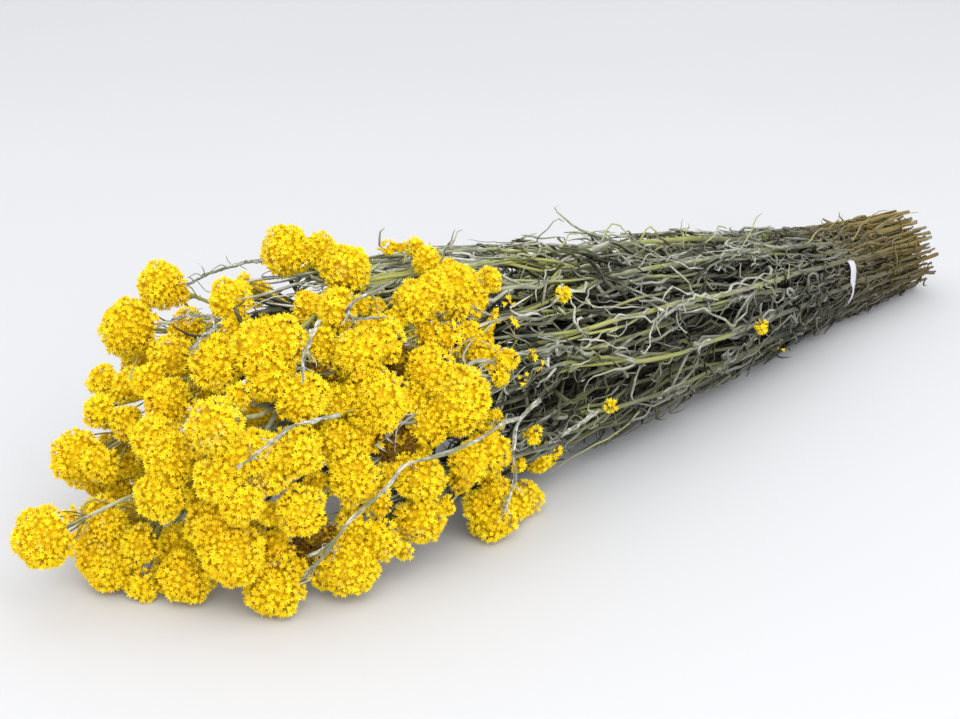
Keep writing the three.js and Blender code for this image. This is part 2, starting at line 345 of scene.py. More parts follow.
def srgb(colour: str) -> Quad:
    """Turns a hex sRGB colour to linear light with an alpha of 1, by the standard's two-part curve."""
    parts = [int(colour[place : place + 2], 16) / 255 for place in (1, 3, 5)]
    return (*(part / 12.92 if part <= 0.04045 else ((part + 0.055) / 1.055) ** 2.4 for part in parts), 1.0)


def add_node(
    tree: bpy.types.NodeTree, kind: str, inputs: Inputs | None = None, stops: Stops | None = None,
    **settings: object,
) -> bpy.types.Node:
    """Adds a node with its settings, its values or links, and the stops of its colour ramp.

    Args:
        tree: The material's node tree.
        kind: The node's type name, without the words ShaderNode that they all start with.
        inputs: What each input gets: another node's output, or a value.
        stops: Places and hex colours of a colour ramp.
        settings: The node's own properties.

    Returns:
        The new node.
    """
    made = tree.nodes.new("ShaderNode" + kind)
    for name, value in settings.items():
        setattr(made, name, value)
    for name, value in (inputs or {}).items():
        if isinstance(value, Socket):
            tree.links.new(value, made.inputs[name])
        else:
            made.inputs[name].default_value = value
    if stops:
        elements = made.color_ramp.elements
        while len(elements) < len(stops):
            elements.new(1.0)
        for element, (place, colour) in zip(elements, stops):
            element.position = place
            element.color = srgb(colour)
    return made


class Tree:
    """A material's nodes while it is put together."""

    def __init__(self, name: str) -> None:
        """Makes the empty material, with the place on the object ready to use.

        Args:
            name: The material's name.
        """
        self.material = bpy.data.materials.new(name)
        self.material.use_nodes = True
        self.nodes = self.material.node_tree
        self.nodes.nodes.clear()
        self.place = add_node(self.nodes, "TexCoord").outputs["Object"]

    def value(self, name: str) -> Socket:
        """Reads one of the mesh's named values."""
        return add_node(self.nodes, "Attribute", attribute_name=name).outputs["Fac"]

    def noise(self, size_mm: float, detail: float, place: Socket | None = None) -> Socket:
        """Makes a cloudy pattern whose patches are about the given size."""
        inputs = {"Vector": place or self.place, "Scale": 1 / (size_mm * MM), "Detail": detail}
        return add_node(self.nodes, "TexNoise", inputs).outputs["Fac"]

    def span(self, value: Socket, given: Pair, wanted: Pair) -> Socket:
        """Turns a value in the given range to one in the wanted range."""
        names = ("Value", "From Min", "From Max", "To Min", "To Max")
        return add_node(self.nodes, "MapRange", dict(zip(names, (value, *given, *wanted)))).outputs[0]

    def mix(self, share: Socket, first: object, second: object) -> Socket:
        """Mixes two colours by a share."""
        return add_node(self.nodes, "Mix", {0: share, 6: first, 7: second}, data_type="RGBA").outputs[2]

    def work_out(self, operation: str, *values: object, clamp: bool = False) -> Socket:
        """Does one operation on values."""
        inputs = dict(enumerate(values))
        return add_node(self.nodes, "Math", inputs, operation=operation, use_clamp=clamp).outputs[0]

    def ramp(self, value: Socket, stops: Stops) -> Socket:
        """Turns a value to a colour between the stops."""
        return add_node(self.nodes, "ValToRGB", {"Fac": value}, stops).outputs[0]

    def bump(self, height: Socket, distance_mm: float, strength: float = 0.6) -> Socket:
        """Raises the surface by a height."""
        inputs = {"Height": height, "Distance": distance_mm * MM, "Strength": strength}
        return add_node(self.nodes, "Bump", inputs).outputs[0]

    def finish(self, inputs: Inputs) -> Material:
        """Adds the shader.

        Args:
            inputs: What its inputs get.

        Returns:
            The finished material.
        """
        shader = add_node(self.nodes, "BsdfPrincipled", inputs)
        add_node(self.nodes, "OutputMaterial", {"Surface": shader.outputs[0]})
        return self.material


@dataclass(frozen=True)
class PaperyBract:
    """Dried ray bracts: thin, stiff and papery, lemon yellow at the tips and golden at the heart.

    The eye gets a bright yellow that turns deeper and warmer wherever it looks into a floret: partly the
    bracts' own golden heart and partly painted shade in the cup and under it. A head is here lemon, there
    golden or a little faded.
    """

    name: str = "papery_bract"
    tip: str = "#fde81c"
    middle: str = "#fadb12"
    heart: str = "#e6b40a"
    golden: str = "#fdca0a"
    faded: str = "#e0d274"
    patch_mm: float = 16.0
    aged_between: Pair = (0.45, 0.75)
    aged_most: float = 0.5
    fade_mm: float = 9.0
    faded_between: Pair = (0.62, 0.78)
    faded_most: float = 0.6
    lightness: Pair = (0.79, 0.99)
    roughness: float = 0.55
    specular: float = 0.25

    def build(self) -> Material:
        """Mixes the floret's colour from heart to tip, partly painted shade, with patches of age over the
        head.

        Returns:
            The material.
        """
        tree = Tree(self.name)
        # Painted shade in part: the heart and base of each floret are darker than the tips.
        petal = tree.ramp(tree.value("reach"), [(0.0, self.heart), (0.5, self.middle), (0.9, self.tip)])
        aged = tree.span(tree.noise(self.patch_mm, 2.0), self.aged_between, (0.0, self.aged_most))
        warm = tree.mix(aged, petal, srgb(self.golden))
        fading = tree.span(tree.noise(self.fade_mm, 3.0), self.faded_between, (0.0, self.faded_most))
        pale = tree.mix(fading, warm, srgb(self.faded))
        light = tree.span(tree.value("tone"), (0.0, 1.0), self.lightness)
        shaded = add_node(tree.nodes, "HueSaturation", {"Color": pale, "Value": light}).outputs[0]
        finish = {"Base Color": shaded, "Roughness": self.roughness, "Specular IOR Level": self.specular}
        return tree.finish(finish)


# Dark bracts: painted shade, a brown copy of the bracts for the florets that the eye meets deep between the
# heads.
SHADED_BRACT = PaperyBract(
    "painted_shade_bract", "#8a6616", "#74520f", "#452d08", golden="#5c3f0c", faded="#8c7434"
)


@dataclass(frozen=True)
class StrandFinish:
    """A fibrous skin: long streaks of low, middle and high shades, rubbed in places to another.

    The streaks lie along the strand, because the pattern is drawn out along the bunch. Where the mesh's
    value outer is small, as deep in the bunch, the colour is mixed towards a dark painted shade; beyond the
    tie it is weathered.
    """

    name: str
    low: str
    middle: str
    high: str
    rubbed: str
    # The painted shade that the colour goes to where the value outer is small.
    inner: str = "#38382c"
    weathered: str = "#8a7429"
    streak_mm: float = 1.4
    draw_out: float = 0.16
    rub_mm: float = 26.0
    rub_from: float = 0.5
    rub_to: float = 0.68
    rub_most: float = 0.85
    weathered_from: float = 125.0
    weathered_to: float = 195.0
    weathered_most: float = 0.85
    roughness: float = 0.85
    sheen: float = 0.2
    bump_mm: float = 0.12
    specular: float = 0.2
    streak_gain: float = 1.6
    streak_offset: float = -0.8

    def build(self) -> Material:
        """Streaks the colour along the bunch, rubs and weathers it in places, paints shade into it, and
        raises the fibres.

        Returns:
            The material.
        """
        tree = Tree(self.name)
        drawn = add_node(tree.nodes, "Mapping", {"Vector": tree.place, "Scale": (self.draw_out, 1.0, 1.0)})
        streaks = tree.noise(self.streak_mm, 3.0, drawn.outputs[0])
        spread = tree.work_out("MULTIPLY_ADD", streaks, self.streak_gain, self.streak_offset)
        shade = tree.work_out("ADD", spread, tree.value("tone"), clamp=True)
        skin = tree.ramp(shade, [(0.05, self.low), (0.5, self.middle), (0.95, self.high)])
        worn = (self.rub_from, self.rub_to)
        rubbing = tree.span(tree.noise(self.rub_mm, 4.0), worn, (0.0, self.rub_most))
        rubbed = tree.mix(rubbing, skin, srgb(self.rubbed))
        place = add_node(tree.nodes, "SeparateXYZ", {0: tree.place}).outputs[0]
        stretch = (self.weathered_from * MM, self.weathered_to * MM)
        age = tree.span(place, stretch, (0.0, self.weathered_most))
        weathered = tree.mix(age, rubbed, srgb(self.weathered))
        # Painted shade: where the value outer is small, the colour goes to the inner colour.
        return tree.finish(
            {
                "Base Color": tree.mix(tree.value("outer"), srgb(self.inner), weathered),
                "Normal": tree.bump(streaks, self.bump_mm),
                "Roughness": self.roughness,
                "Sheen Weight": self.sheen,
                "Specular IOR Level": self.specular,
            }
        )


# Woolly bark of the stems: a grey-white felt over green, rubbed through to yellow-green in stretches.
WOOLLY_STEM = StrandFinish(
    "woolly_stem", "#565a46", "#8e9074", "#b8b9a4", "#a3a550", rub_from=0.42, rub_to=0.57
)

# Felted leaves: grey-white wool pressed to felt, greener underneath, which reads as pale curling ribbons.
FELTED_LEAF = StrandFinish(
    "felted_leaf", "#646757", "#999b89", "#c1c1b4", "#93965a", rub_from=0.49, rub_to=0.68, rub_most=0.75
)

# Inner leaves: painted shade, leaves in the depth of the bunch coloured dull olive to nearly black.
SHADED_LEAF = StrandFinish("painted_shade_leaf", "#33342a", "#535442", "#787962", "#63622f", sheen=0.0)

# Straw: broken stalks and leaves among the cut ends and under the flowers, gold to brown.
# Its inner colour is painted shade, which the straw takes deep in the bunch.
STRAW = StrandFinish("straw", "#3a2c14", "#76642c", "#a39048", "#7c7a30", inner="#2e2614", sheen=0.0)

# Flower stalks: thin bare stalks under the florets, olive grey in the shade of the head.
FLOWER_STALK = StrandFinish("flower_stalk", "#58552c", "#8a8346", "#b5ae76", "#93904a", sheen=0.1)

# Stem ends near the cut: bare bark and torn pith, olive to brown.
CUT_PITH = StrandFinish(
    "cut_pith", "#3e3018", "#77683a", "#a69558", "#84803a", weathered="#866c28", rub_from=0.5, sheen=0.1
)

# Loose twigs over the flowers: the same wool, thick and nearly white.
WHITE_TWIG = StrandFinish(
    "white_twig", "#484a3c", "#8d8f7e", "#d0cfc4", "#6f7350", streak_mm=1.1, draw_out=0.4, rub_mm=8.0,
    rub_from=0.49, rub_to=0.62, bump_mm=0.2,
)


@dataclass(frozen=True)
class HeadGround:
    """The tangled ground between the florets: golden brown, which the eye meets in every gap."""

    dark: str = "#ae8a0a"
    light: str = "#e0ba12"
    grain_mm: float = 1.1

    def build(self) -> Material:
        """Mottles two browns at the size of a floret's base.

        Returns:
            The material.
        """
        tree = Tree("head_ground")
        colour = tree.ramp(tree.noise(self.grain_mm, 2.0), [(0.35, self.dark), (0.65, self.light)])
        return tree.finish({"Base Color": colour, "Roughness": 0.9, "Specular IOR Level": 0.1})


@dataclass(frozen=True)
class ElasticBand:
    """White elastic: knitted rubber tape with fine ribs across it and a soft satin; the grooves between the
    ribs are painted a little darker as shade.
    """

    thread: str = "#c4c2c7"
    groove_shade: str = "#b4b2b8"
    rib_mm: float = 0.8
    rib_bump_mm: float = 0.1
    roughness: float = 0.5

    def build(self) -> Material:
        """Ribs the tape with a wave that runs along it, with painted shade in the grooves.

        Returns:
            The material.
        """
        tree = Tree("elastic_band")
        wave = tree.work_out("MULTIPLY", tree.value("length"), 2 * math.pi / self.rib_mm)
        share = tree.span(tree.work_out("SINE", wave), (-1.0, 1.0), (0.0, 1.0))
        # Painted shade: the grooves between the ribs are darker.
        colour = tree.ramp(share, [(0.1, self.groove_shade), (0.6, self.thread)])
        bump = tree.bump(share, self.rib_bump_mm)
        return tree.finish({"Base Color": colour, "Normal": bump, "Roughness": self.roughness})


def put_in_scene(name: str, data: bpy.types.ID | None) -> bpy.types.Object:
    """Makes an object of the data and adds it to the scene.

    Args:
        name: The object's name.
        data: Its mesh, camera or light.

    Returns:
        The object, at the origin.
    """
    made = bpy.data.objects.new(name, data)
    bpy.context.scene.collection.objects.link(made)
    return made


@dataclass
class Workshop:
    """Turns surfaces into finished pieces, and keeps one material for each finish."""

    floor_gap: float = 0.05
    materials: dict[object, Material] = field(default_factory=dict)

    def material(self, finish: object) -> Material:
        """Gives the material of a finish, made at its first use.

        Args:
            finish: What the material is built from.

        Returns:
            The material.
        """
        if finish not in self.materials:
            self.materials[finish] = finish.build()
        return self.materials[finish]

    def piece(
        self, name: str, surfaces: Finished, replaces: tuple[str, ...] = (), smooth: bool = True
    ) -> None:
        """Makes one object of surfaces, each with its own finish, that rides on the bunch.

        Points that would lie below the floor are lifted to it.

        Args:
            name: The piece's name.
            surfaces: Each surface with its finish.
            replaces: The CAD nodes that the piece stands for.
            smooth: Whether light runs smoothly over its faces.
        """
        whole = join([surface for surface, _ in surfaces])
        whole.points[:, 2] = np.maximum(whole.points[:, 2], self.floor_gap)
        mesh = bpy.data.meshes.new(name)
        mesh.vertices.add(len(whole.points))
        mesh.vertices.foreach_set("co", (whole.points * MM).astype(np.float32).ravel())
        mesh.loops.add(whole.faces.size)
        mesh.loops.foreach_set("vertex_index", whole.faces.astype(np.int32).ravel())
        mesh.polygons.add(len(whole.faces))
        mesh.polygons.foreach_set("loop_start", np.arange(0, whole.faces.size, 3, dtype=np.int32))
        numbers = [np.full(len(surface.faces), index) for index, (surface, _) in enumerate(surfaces)]
        mesh.polygons.foreach_set("material_index", np.concatenate(numbers).astype(np.int32))
        mesh.polygons.foreach_set("use_smooth", np.full(len(whole.faces), smooth))
        for key, value in whole.values.items():
            layer = mesh.attributes.new(key, "FLOAT", "POINT")
            layer.data.foreach_set("value", value.astype(np.float32))
        for _, finish in surfaces:
            mesh.materials.append(self.material(finish))
        mesh.update(calc_edges=True)
        made = put_in_scene(name, mesh)
        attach(made, "root")
        if replaces:
            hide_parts(*replaces)
        log.info("%s: %d triangles", name, len(whole.faces))


# The bunch as the frame gives it


@dataclass
class Bunch:
    """What the frame says of the bunch: where its tie is, its flower heads, stems and twigs."""

    nodes: dict[str, bpy.types.Object]
    tie_side: float = 5.0
    heads_per_stem: int = 2
    decimals: int = 3

    def __post_init__(self) -> None:
        """Reads the tie's place and every head, stem and twig."""
        low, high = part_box("tie_band")
        self.tie = (np.array(low) + np.array(high)) / 2 / MM
        self.heads = self.read_all("flower_head")
        self.stems = self.read_all("flowering_stem")
        self.twigs = self.read_all("woolly_twig")

    def read_all(self, start: str) -> dict[str, Surface]:
        """Reads the nodes whose names start with the given words."""
        return {name: self.read(name) for name in sorted(self.nodes) if name.startswith(start)}

    def read(self, name: str) -> Surface:
        """Reads a node's triangles, with the corners that lie together made one point.

        Args:
            name: The node's name.

        Returns:
            The surface, in millimetres.
        """
        mesh = self.nodes[name].data
        flat = np.empty(len(mesh.vertices) * 3, np.float32)
        mesh.vertices.foreach_get("co", flat)
        mesh.calc_loop_triangles()
        corners = np.empty(len(mesh.loop_triangles) * 3, np.int32)
        mesh.loop_triangles.foreach_get("vertices", corners)
        rounded = np.round(flat.reshape(-1, 3).astype(float) / MM, self.decimals)
        points, index = np.unique(rounded, axis=0, return_inverse=True)
        faces = index.reshape(-1)[corners].reshape(-1, 3)
        a, b, c = faces.T
        return Surface(points, faces[(a != b) & (b != c) & (a != c)])

    def place(self, ahead: Array, side: Array, height: Array) -> Array:
        """Gives the point at a distance ahead of the tie, to the side, and above the surface."""
        ahead, side, height = np.broadcast_arrays(ahead, side, height)
        return np.stack([self.tie[0] - ahead, self.tie[1] + side - self.tie_side, height], -1).astype(float)

    def ahead(self, points: Array) -> Array:
        """Says how far ahead of the tie points are."""
        return self.tie[0] - points[..., 0]

    def heads_of(self, stem: int) -> list[Surface]:
        """Lists the heads that a stem carries, counted from 0."""
        first = stem * self.heads_per_stem
        return list(self.heads.values())[first : first + self.heads_per_stem]


@dataclass(frozen=True)
class PhotoView:
    """The camera that sees the bunch at the photograph's angle, placed from the tie."""

    tie: Triple
    from_tie_mm: Triple = (-655.8, -469.7, 247.4)
    heading_deg: float = -43.5
    pitch_deg: float = 20.0
    focal_px: float = 1800.0
    width_px: int = 960
    height_px: int = 719
    sensor_mm: float = 36.0
    clip_end_m: float = 100.0

    def eye(self) -> Array:
        """Gives the camera's place in millimetres."""
        return np.array(self.tie) + np.array(self.from_tie_mm)

    def ray(self, pixel: Pixel) -> Array:
        """Gives the direction in which the camera sees a pixel.

        Args:
            pixel: A pixel of the photograph.

        Returns:
            The direction, of length 1.
        """
        heading, pitch = math.radians(self.heading_deg), math.radians(self.pitch_deg)
        right = np.array([math.cos(heading), math.sin(heading), 0.0])
        level = np.array([-math.sin(heading), math.cos(heading), 0.0])
        forward = level * math.cos(pitch) - np.array([0.0, 0.0, math.sin(pitch)])
        up = np.cross(right, forward)
        across = (pixel[0] - self.width_px / 2) / self.focal_px
        down = (pixel[1] - self.height_px / 2) / self.focal_px
        return unit(forward + right * across - up * down)

    def make_camera(self) -> None:
        """Adds the camera and makes it the scene's."""
        data = bpy.data.cameras.new("photo_camera")
        data.sensor_width = self.sensor_mm
        data.lens = self.focal_px * self.sensor_mm / self.width_px
        data.clip_end = self.clip_end_m
        camera = put_in_scene("photo_camera", data)
        camera.location = self.eye() * MM
        tilt = math.radians(90 - self.pitch_deg)
        camera.rotation_euler = (tilt, 0.0, math.radians(self.heading_deg))
        bpy.context.scene.camera = camera


@dataclass
class Envelope:
    """The outline of the stems and leaves together: a tube whose middle and radius change along it."""

    bunch: Bunch
    stations: tuple[float, ...] = (-90.0, -84.0, 0.0, 80.0, 170.0, 250.0, 330.0)
    side: tuple[float, ...] = (10.0, 10.0, 6.0, -5.0, -14.0, -12.0, -8.0)
    radius: tuple[float, ...] = (17.5, 18.5, 22.5, 31.0, 40.0, 44.0, 46.0)
    sections: int = 40
    sides: int = 32
    floor_gap: float = 0.5
    dark_within: float = 0.45
    light_beyond: float = 0.95
    # Painted shade on the low side of the bunch: the least share of light at the floor, and the height where
    # it is full.
    bottom_shade: float = 0.1
    bottom_shade_height: float = 60.0
    # Painted shade beside the tie: the least share of light where it is darkest, and how far it eases off.
    tie_shade: float = 0.36
    tie_shade_at: float = 20.0
    tie_shade_over: float = 100.0
    tips_from: float = 300.0
    tips_over: float = 50.0

    def middle(self, ahead: Array) -> Array:
        """Gives the middle of the tube: it rests on the surface, so it is as high as its radius."""
        side = np.interp(-np.asarray(ahead), -np.array(self.stations)[::-1], np.array(self.side)[::-1])
        return self.bunch.place(ahead, side, self.reach(ahead) + self.floor_gap)

    def reach(self, ahead: Array) -> Array:
        """Gives the tube's radius."""
        return np.interp(ahead, self.stations, self.radius)

    def depth(self, points: Array) -> Array:
        """Gives how far points stand from the tube's middle line, over its radius."""
        out = (points - self.middle(self.bunch.ahead(points)))[..., 1:]
        return np.linalg.norm(out, axis=-1) / self.reach(self.bunch.ahead(points))

    def held(self, points: Array, give: Array) -> Array:
        """Presses points that stand out of the tube back towards it, and lifts those below the surface.

        Args:
            points: Points, (..., 3).
            give: What share a point beyond the radius keeps of what it stands out.

        Returns:
            The moved points.
        """
        ahead = self.bunch.ahead(points)
        middle = self.middle(ahead)
        out = points - middle
        out[..., 0] = 0.0
        distance = np.linalg.norm(out, axis=-1, keepdims=True)
        reach = self.reach(ahead)[..., None]
        wanted = np.where(distance > reach, reach + (distance - reach) * give, distance)
        moved = points + out / np.maximum(distance, SMALL) * (wanted - distance)
        moved[..., 2] = np.maximum(moved[..., 2], self.floor_gap)
        return moved

    def shaded(self, surface: Surface) -> Surface:
        """Adds the value outer: 0 deep in the tube, easing to 1 at its outline and the stems' tips.

        It stays smaller low down and beside the tie, where more shade is painted.

        Args:
            surface: The surface, which is changed.

        Returns:
            The same surface.
        """
        ahead = self.bunch.ahead(surface.points)
        share = (self.depth(surface.points) - self.dark_within) / (self.light_beyond - self.dark_within)
        # Painted shade: darker deep in the bunch, on its low side and beside the tie.
        high = smooth_step(surface.points[:, 2] / self.bottom_shade_height)
        free = smooth_step(np.abs(ahead - self.tie_shade_at) / self.tie_shade_over)
        outer = smooth_step(share) * blend(self.bottom_shade, 1.0, high) * blend(self.tie_shade, 1.0, free)
        tips = smooth_step((ahead - self.tips_from) / self.tips_over)
        surface.values["outer"] = np.maximum(outer, tips)
        return surface

    def surface(self) -> Surface:
        """Makes the tube as a closed surface.

        Returns:
            The surface.
        """
        ahead = np.linspace(self.stations[0], self.stations[-1], self.sections)
        radius = self.reach(ahead)[None]
        return sweep(self.middle(ahead)[None], radius, radius, UP, self.sides, np.zeros(1))


@dataclass
class Carrier:
    """What loose pieces lie on: the flower heads, a little grown, and the outline of the stems."""

    bunch: Bunch
    envelope: Envelope
    view: PhotoView
    head_margin: float = 2.0
    easing_rounds: int = 2
    near_heads: int = 3

    def __post_init__(self) -> None:
        """Builds the search tree of both surfaces, and finds the middles of the heads."""
        heads = self.bunch.heads.values()
        grown = [head.grown(self.head_margin) for head in heads]
        self.tree = join([*grown, self.envelope.surface()]).tree()
        self.middles = np.array([head.middle() for head in heads])

    def at(self, pixel: Pixel, sunk: float = 0.0, tree: BVHTree | None = None) -> Array | None:
        """Finds the point that lies a little beyond what a pixel shows first.

        Args:
            pixel: A pixel of the photograph.
            sunk: How far beyond it lies, along the line of sight.
            tree: What is looked at, if not the bunch's outline.

        Returns:
            The point, or nothing where the pixel shows nothing.
        """
        eye, ray = self.view.eye(), self.view.ray(pixel)
        found = (tree or self.tree).ray_cast(eye.tolist(), ray.tolist())
        return None if found[3] is None else eye + ray * (found[3] + sunk)

    def level(self, pixel: Pixel, back: float, low: float) -> Array:
        """Finds the point that a pixel shows at the depth of the heads beside it.

        The depth is the mean of the nearest heads' distances, weighted by one over the squared
        angles between their directions and the pixel's. It goes no further than the height given.

        Args:
            pixel: A pixel of the photograph.
            back: How much further off the point lies.
            low: The least height above the surface that the bunch lies on.

        Returns:
            The point.
        """
        eye, ray = self.view.eye(), self.view.ray(pixel)
        between = self.middles - eye
        distance = np.linalg.norm(between, axis=1)
        angle = np.arccos(np.clip(between @ ray / distance, -1, 1))
        nearest = np.argsort(angle)[: self.near_heads]
        weight = 1 / (angle[nearest] ** 2 + SMALL)
        reach = (distance[nearest] * weight).sum() / weight.sum() + back
        return eye + ray * min(reach, (low - eye[2]) / ray[2])

    def route(self, pixels: Route, lift: float, tree: BVHTree | None = None) -> Array:
        """Lays a route along pixels over what carries it.

        Distances are evened out, so that it spans gaps as a stiff twig does.

        Args:
            pixels: The pixels that it passes.
            lift: How far it stays from what it lies on, towards the camera.
            tree: What it lies on, if not on the bunch's outline.

        Returns:
            Points, (pixels, 3).
        """
        eye = self.view.eye()
        met = [self.at(pixel, 0.0, tree) for pixel in pixels]
        known = np.array([point is not None for point in met])
        reach = np.array([0.0 if point is None else np.linalg.norm(point - eye) for point in met])
        order = np.arange(len(reach))
        reach = np.interp(order, order[known], reach[known])
        for _ in range(self.easing_rounds):
            padded = np.concatenate([reach[:1], reach, reach[-1:]])
            reach = np.minimum(reach, padded[:-2] * 0.25 + padded[1:-1] * 0.5 + padded[2:] * 0.25)
        rays = np.array([self.view.ray(pixel) for pixel in pixels])
        return eye + rays * (reach - lift)[:, None]


# Stems and leaves


@dataclass(frozen=True)
class StemKind:
    """One kind of stem: its half width, taper to the flowers, flatness, corners and tones."""

    radius: float
    taper: float
    flatness: float
    sides: int
    tones: Pair


@dataclass
class Stems:
    """The flowering stems, their branches, and the thinner stems that stand between them."""

    bunch: Bunch
    envelope: Envelope
    main: StemKind = StemKind(1.25, 0.5, 0.9, 8, (0.25, 0.75))
    branch: StemKind = StemKind(0.85, 0.55, 0.9, 8, (0.25, 0.75))
    thin: StemKind = StemKind(0.8, 0.6, 0.85, 5, (0.1, 0.7))
    stub: StemKind = StemKind(0.8, 0.8, 0.8, 6, (0.0, 0.6))
    seed: int = 7
    stations: int = 50
    branch_stations: int = 16
    cut_inset: float = 1.5
    belly_ahead: float = 170.0
    approach: float = 50.0
    turn_inward: float = 0.2
    turn_deeper: float = 0.0012
    first_flowers: float = 230.0
    crown: Pair = (-10.0, 45.0)
    fork_lead: float = 52.0
    fork_ease: float = 0.35
    wander: float = 1.5
    thin_wander: float = 3.6
    waves: tuple[float, ...] = (2.5, 5.0, 9.0, 14.0)
    held_ends: float = 6.0
    thin_tries: int = 1500
    thin_gap: float = 2.7
    thin_reach: float = 21.5
    thin_turn: float = 0.3
    thin_give: float = 0.3
    aim_ahead: float = 300.0
    aim_spread: float = 2.0
    end_spread: float = 1.5
    last_bend: float = 0.6
    last_spread: float = 3.0
    stub_count: int = 90
    stub_stations: int = 10
    stub_ahead: Pair = (-10.0, 30.0)
    stub_waves: Pair = (1.0, 2.5)
    stub_wander: float = 1.2
    stub_spread: float = 1.0
    stub_past: float = 1.0
    shrunk_end: float = 0.62
    shrunk_sharpness: float = 5.0
    swell: float = 0.15
    swell_waves: Triple = (5.0, 13.0, 17.0)
    own_size: Pair = (0.85, 1.15)
    cut_behind: Pair = (74.0, 86.0)
    cut_spread: float = 0.86
    belly_spread: float = 1.6

    def __post_init__(self) -> None:
        """Works out every route, so that leaves can grow on them."""
        rng = np.random.default_rng(self.seed)
        self.main_routes = self.routes_of_mains()
        self.branch_routes = self.routes_of_branches()
        self.thin_routes = self.routes_of_thin_stems(rng)
        for routes, size in ((self.main_routes, self.wander), (self.thin_routes, self.thin_wander)):
            along = np.linspace(0, 1, routes.shape[1])
            ease = np.minimum(1, self.held_ends * np.minimum(along, 1 - along))[None, :, None]
            routes += ripple(rng, len(routes), along, self.waves) * size * ease
        self.thin_routes = self.envelope.held(self.thin_routes, self.thin_give)
        self.long_routes = np.concatenate([self.main_routes, self.thin_routes])
        self.stub_routes = self.routes_of_stubs(rng)

    def turning_point(self, head: Surface) -> Array:
        """Finds where a stem turns out to a head: behind it, part of the way in to the middle.

        Args:
            head: The head.

        Returns:
            The turning point.
        """
        middle = head.middle()
        share = self.turn_inward + self.turn_deeper * (self.bunch.ahead(middle) - self.first_flowers)
        inward = self.bunch.place(self.bunch.ahead(middle), *self.crown)
        turned = blend(middle, inward, share)
        return np.array([middle[0] + self.approach, turned[1], turned[2]])

    def routes_of_mains(self) -> Array:
        """Runs each stem where the frame has it, from its cut end to the middle of its first head.

        Returns:
            The routes, (stems, stations, 3).
        """
        controls = []
        for number, stem in enumerate(self.bunch.stems.values()):
            first = self.bunch.heads_of(number)[0]
            cut = stem.points[:, 0].max()
            stations = (cut - self.cut_inset, self.bunch.tie[0], self.bunch.tie[0] - self.belly_ahead)
            held = [stem.section_middle(x) for x in stations]
            held[0] = held[0] + unit(held[0] - held[1]) * self.cut_inset
            controls.append([*held, self.turning_point(first), first.middle()])
        return curve_through(np.array(controls), self.stations)

    def routes_of_branches(self) -> Array:
        """Forks a branch off each stem to its second head, along a cubic with eased ends.

        Returns:
            The routes, (stems, stations, 3).
        """
        starts, outs, ins, ends = [], [], [], []
        for number, route in enumerate(self.main_routes):
            end = self.bunch.heads_of(number)[1].middle()
            station = int(np.abs(route[:, 0] - (end[0] + self.fork_lead)).argmin())
            start = route[station]
            along = unit(route[station + 1] - route[station - 1])
            length = np.linalg.norm(end - start)
            starts.append(start)
            outs.append(start + along * length * self.fork_ease)
            ins.append(blend(end, start, self.fork_ease))
            ends.append(end)
        share = np.linspace(0, 1, self.branch_stations)[None, :, None]
        p0, p1, p2, p3 = (np.array(row)[:, None] for row in (starts, outs, ins, ends))
        rest = 1 - share
        return rest**3 * p0 + 3 * rest**2 * share * p1 + 3 * rest * share**2 * p2 + share**3 * p3

    def routes_of_thin_stems(self, rng: Random) -> Array:
        """Runs thinner stems through the gaps of the tie, each to the head nearest its line.

        A stem keeps its place in the tie's round, spread wider at the belly and turned a little.

        Args:
            rng: Source of the places and angles.

        Returns:
            The routes, (stems, stations, 3).
        """
        station = np.abs(self.main_routes[0, :, 0] - self.bunch.tie[0]).argmin()
        taken = self.main_routes[:, station, 1:] - self.bunch.tie[1:]
        tries = rng.uniform(-1, 1, (self.thin_tries, 2)) * self.thin_reach
        tries = tries[np.linalg.norm(tries, axis=1) < self.thin_reach]
        clear = np.linalg.norm(tries[:, None] - taken[None], axis=2).min(1) > self.thin_gap
        tries = tries[clear]
        slots = tries[thinned(tries, self.thin_gap, rng)]
        middles = np.array([head.middle() for head in self.bunch.heads.values()])
        controls = []
        for slot in slots:
            turn = rng.normal(0, self.thin_turn)
            cosine, sine = math.cos(turn), math.sin(turn)
            turned = np.array([slot @ [cosine, -sine], slot @ [sine, cosine]])
            stations = (
                (-rng.uniform(*self.cut_behind), slot * self.cut_spread),
                (0.0, slot),
                (self.belly_ahead / 2, blend(slot, turned * self.belly_spread, 0.5)),
                (self.belly_ahead, turned * self.belly_spread),
            )
            rows = [self.envelope.middle(ahead) + [0.0, *out] for ahead, out in stations]
            rows[1] = self.bunch.tie + [0.0, *slot]
            aim = self.envelope.middle(self.aim_ahead) + [0.0, *(turned * self.aim_spread)]
            end = middles[np.linalg.norm(middles - aim, axis=1).argmin()] + rng.normal(0, self.end_spread, 3)
            rows.append(blend(rows[-1], end, self.last_bend) + rng.normal(0, self.last_spread, 3))
            controls.append([*rows, end])
        return curve_through(np.array(controls), self.stations)

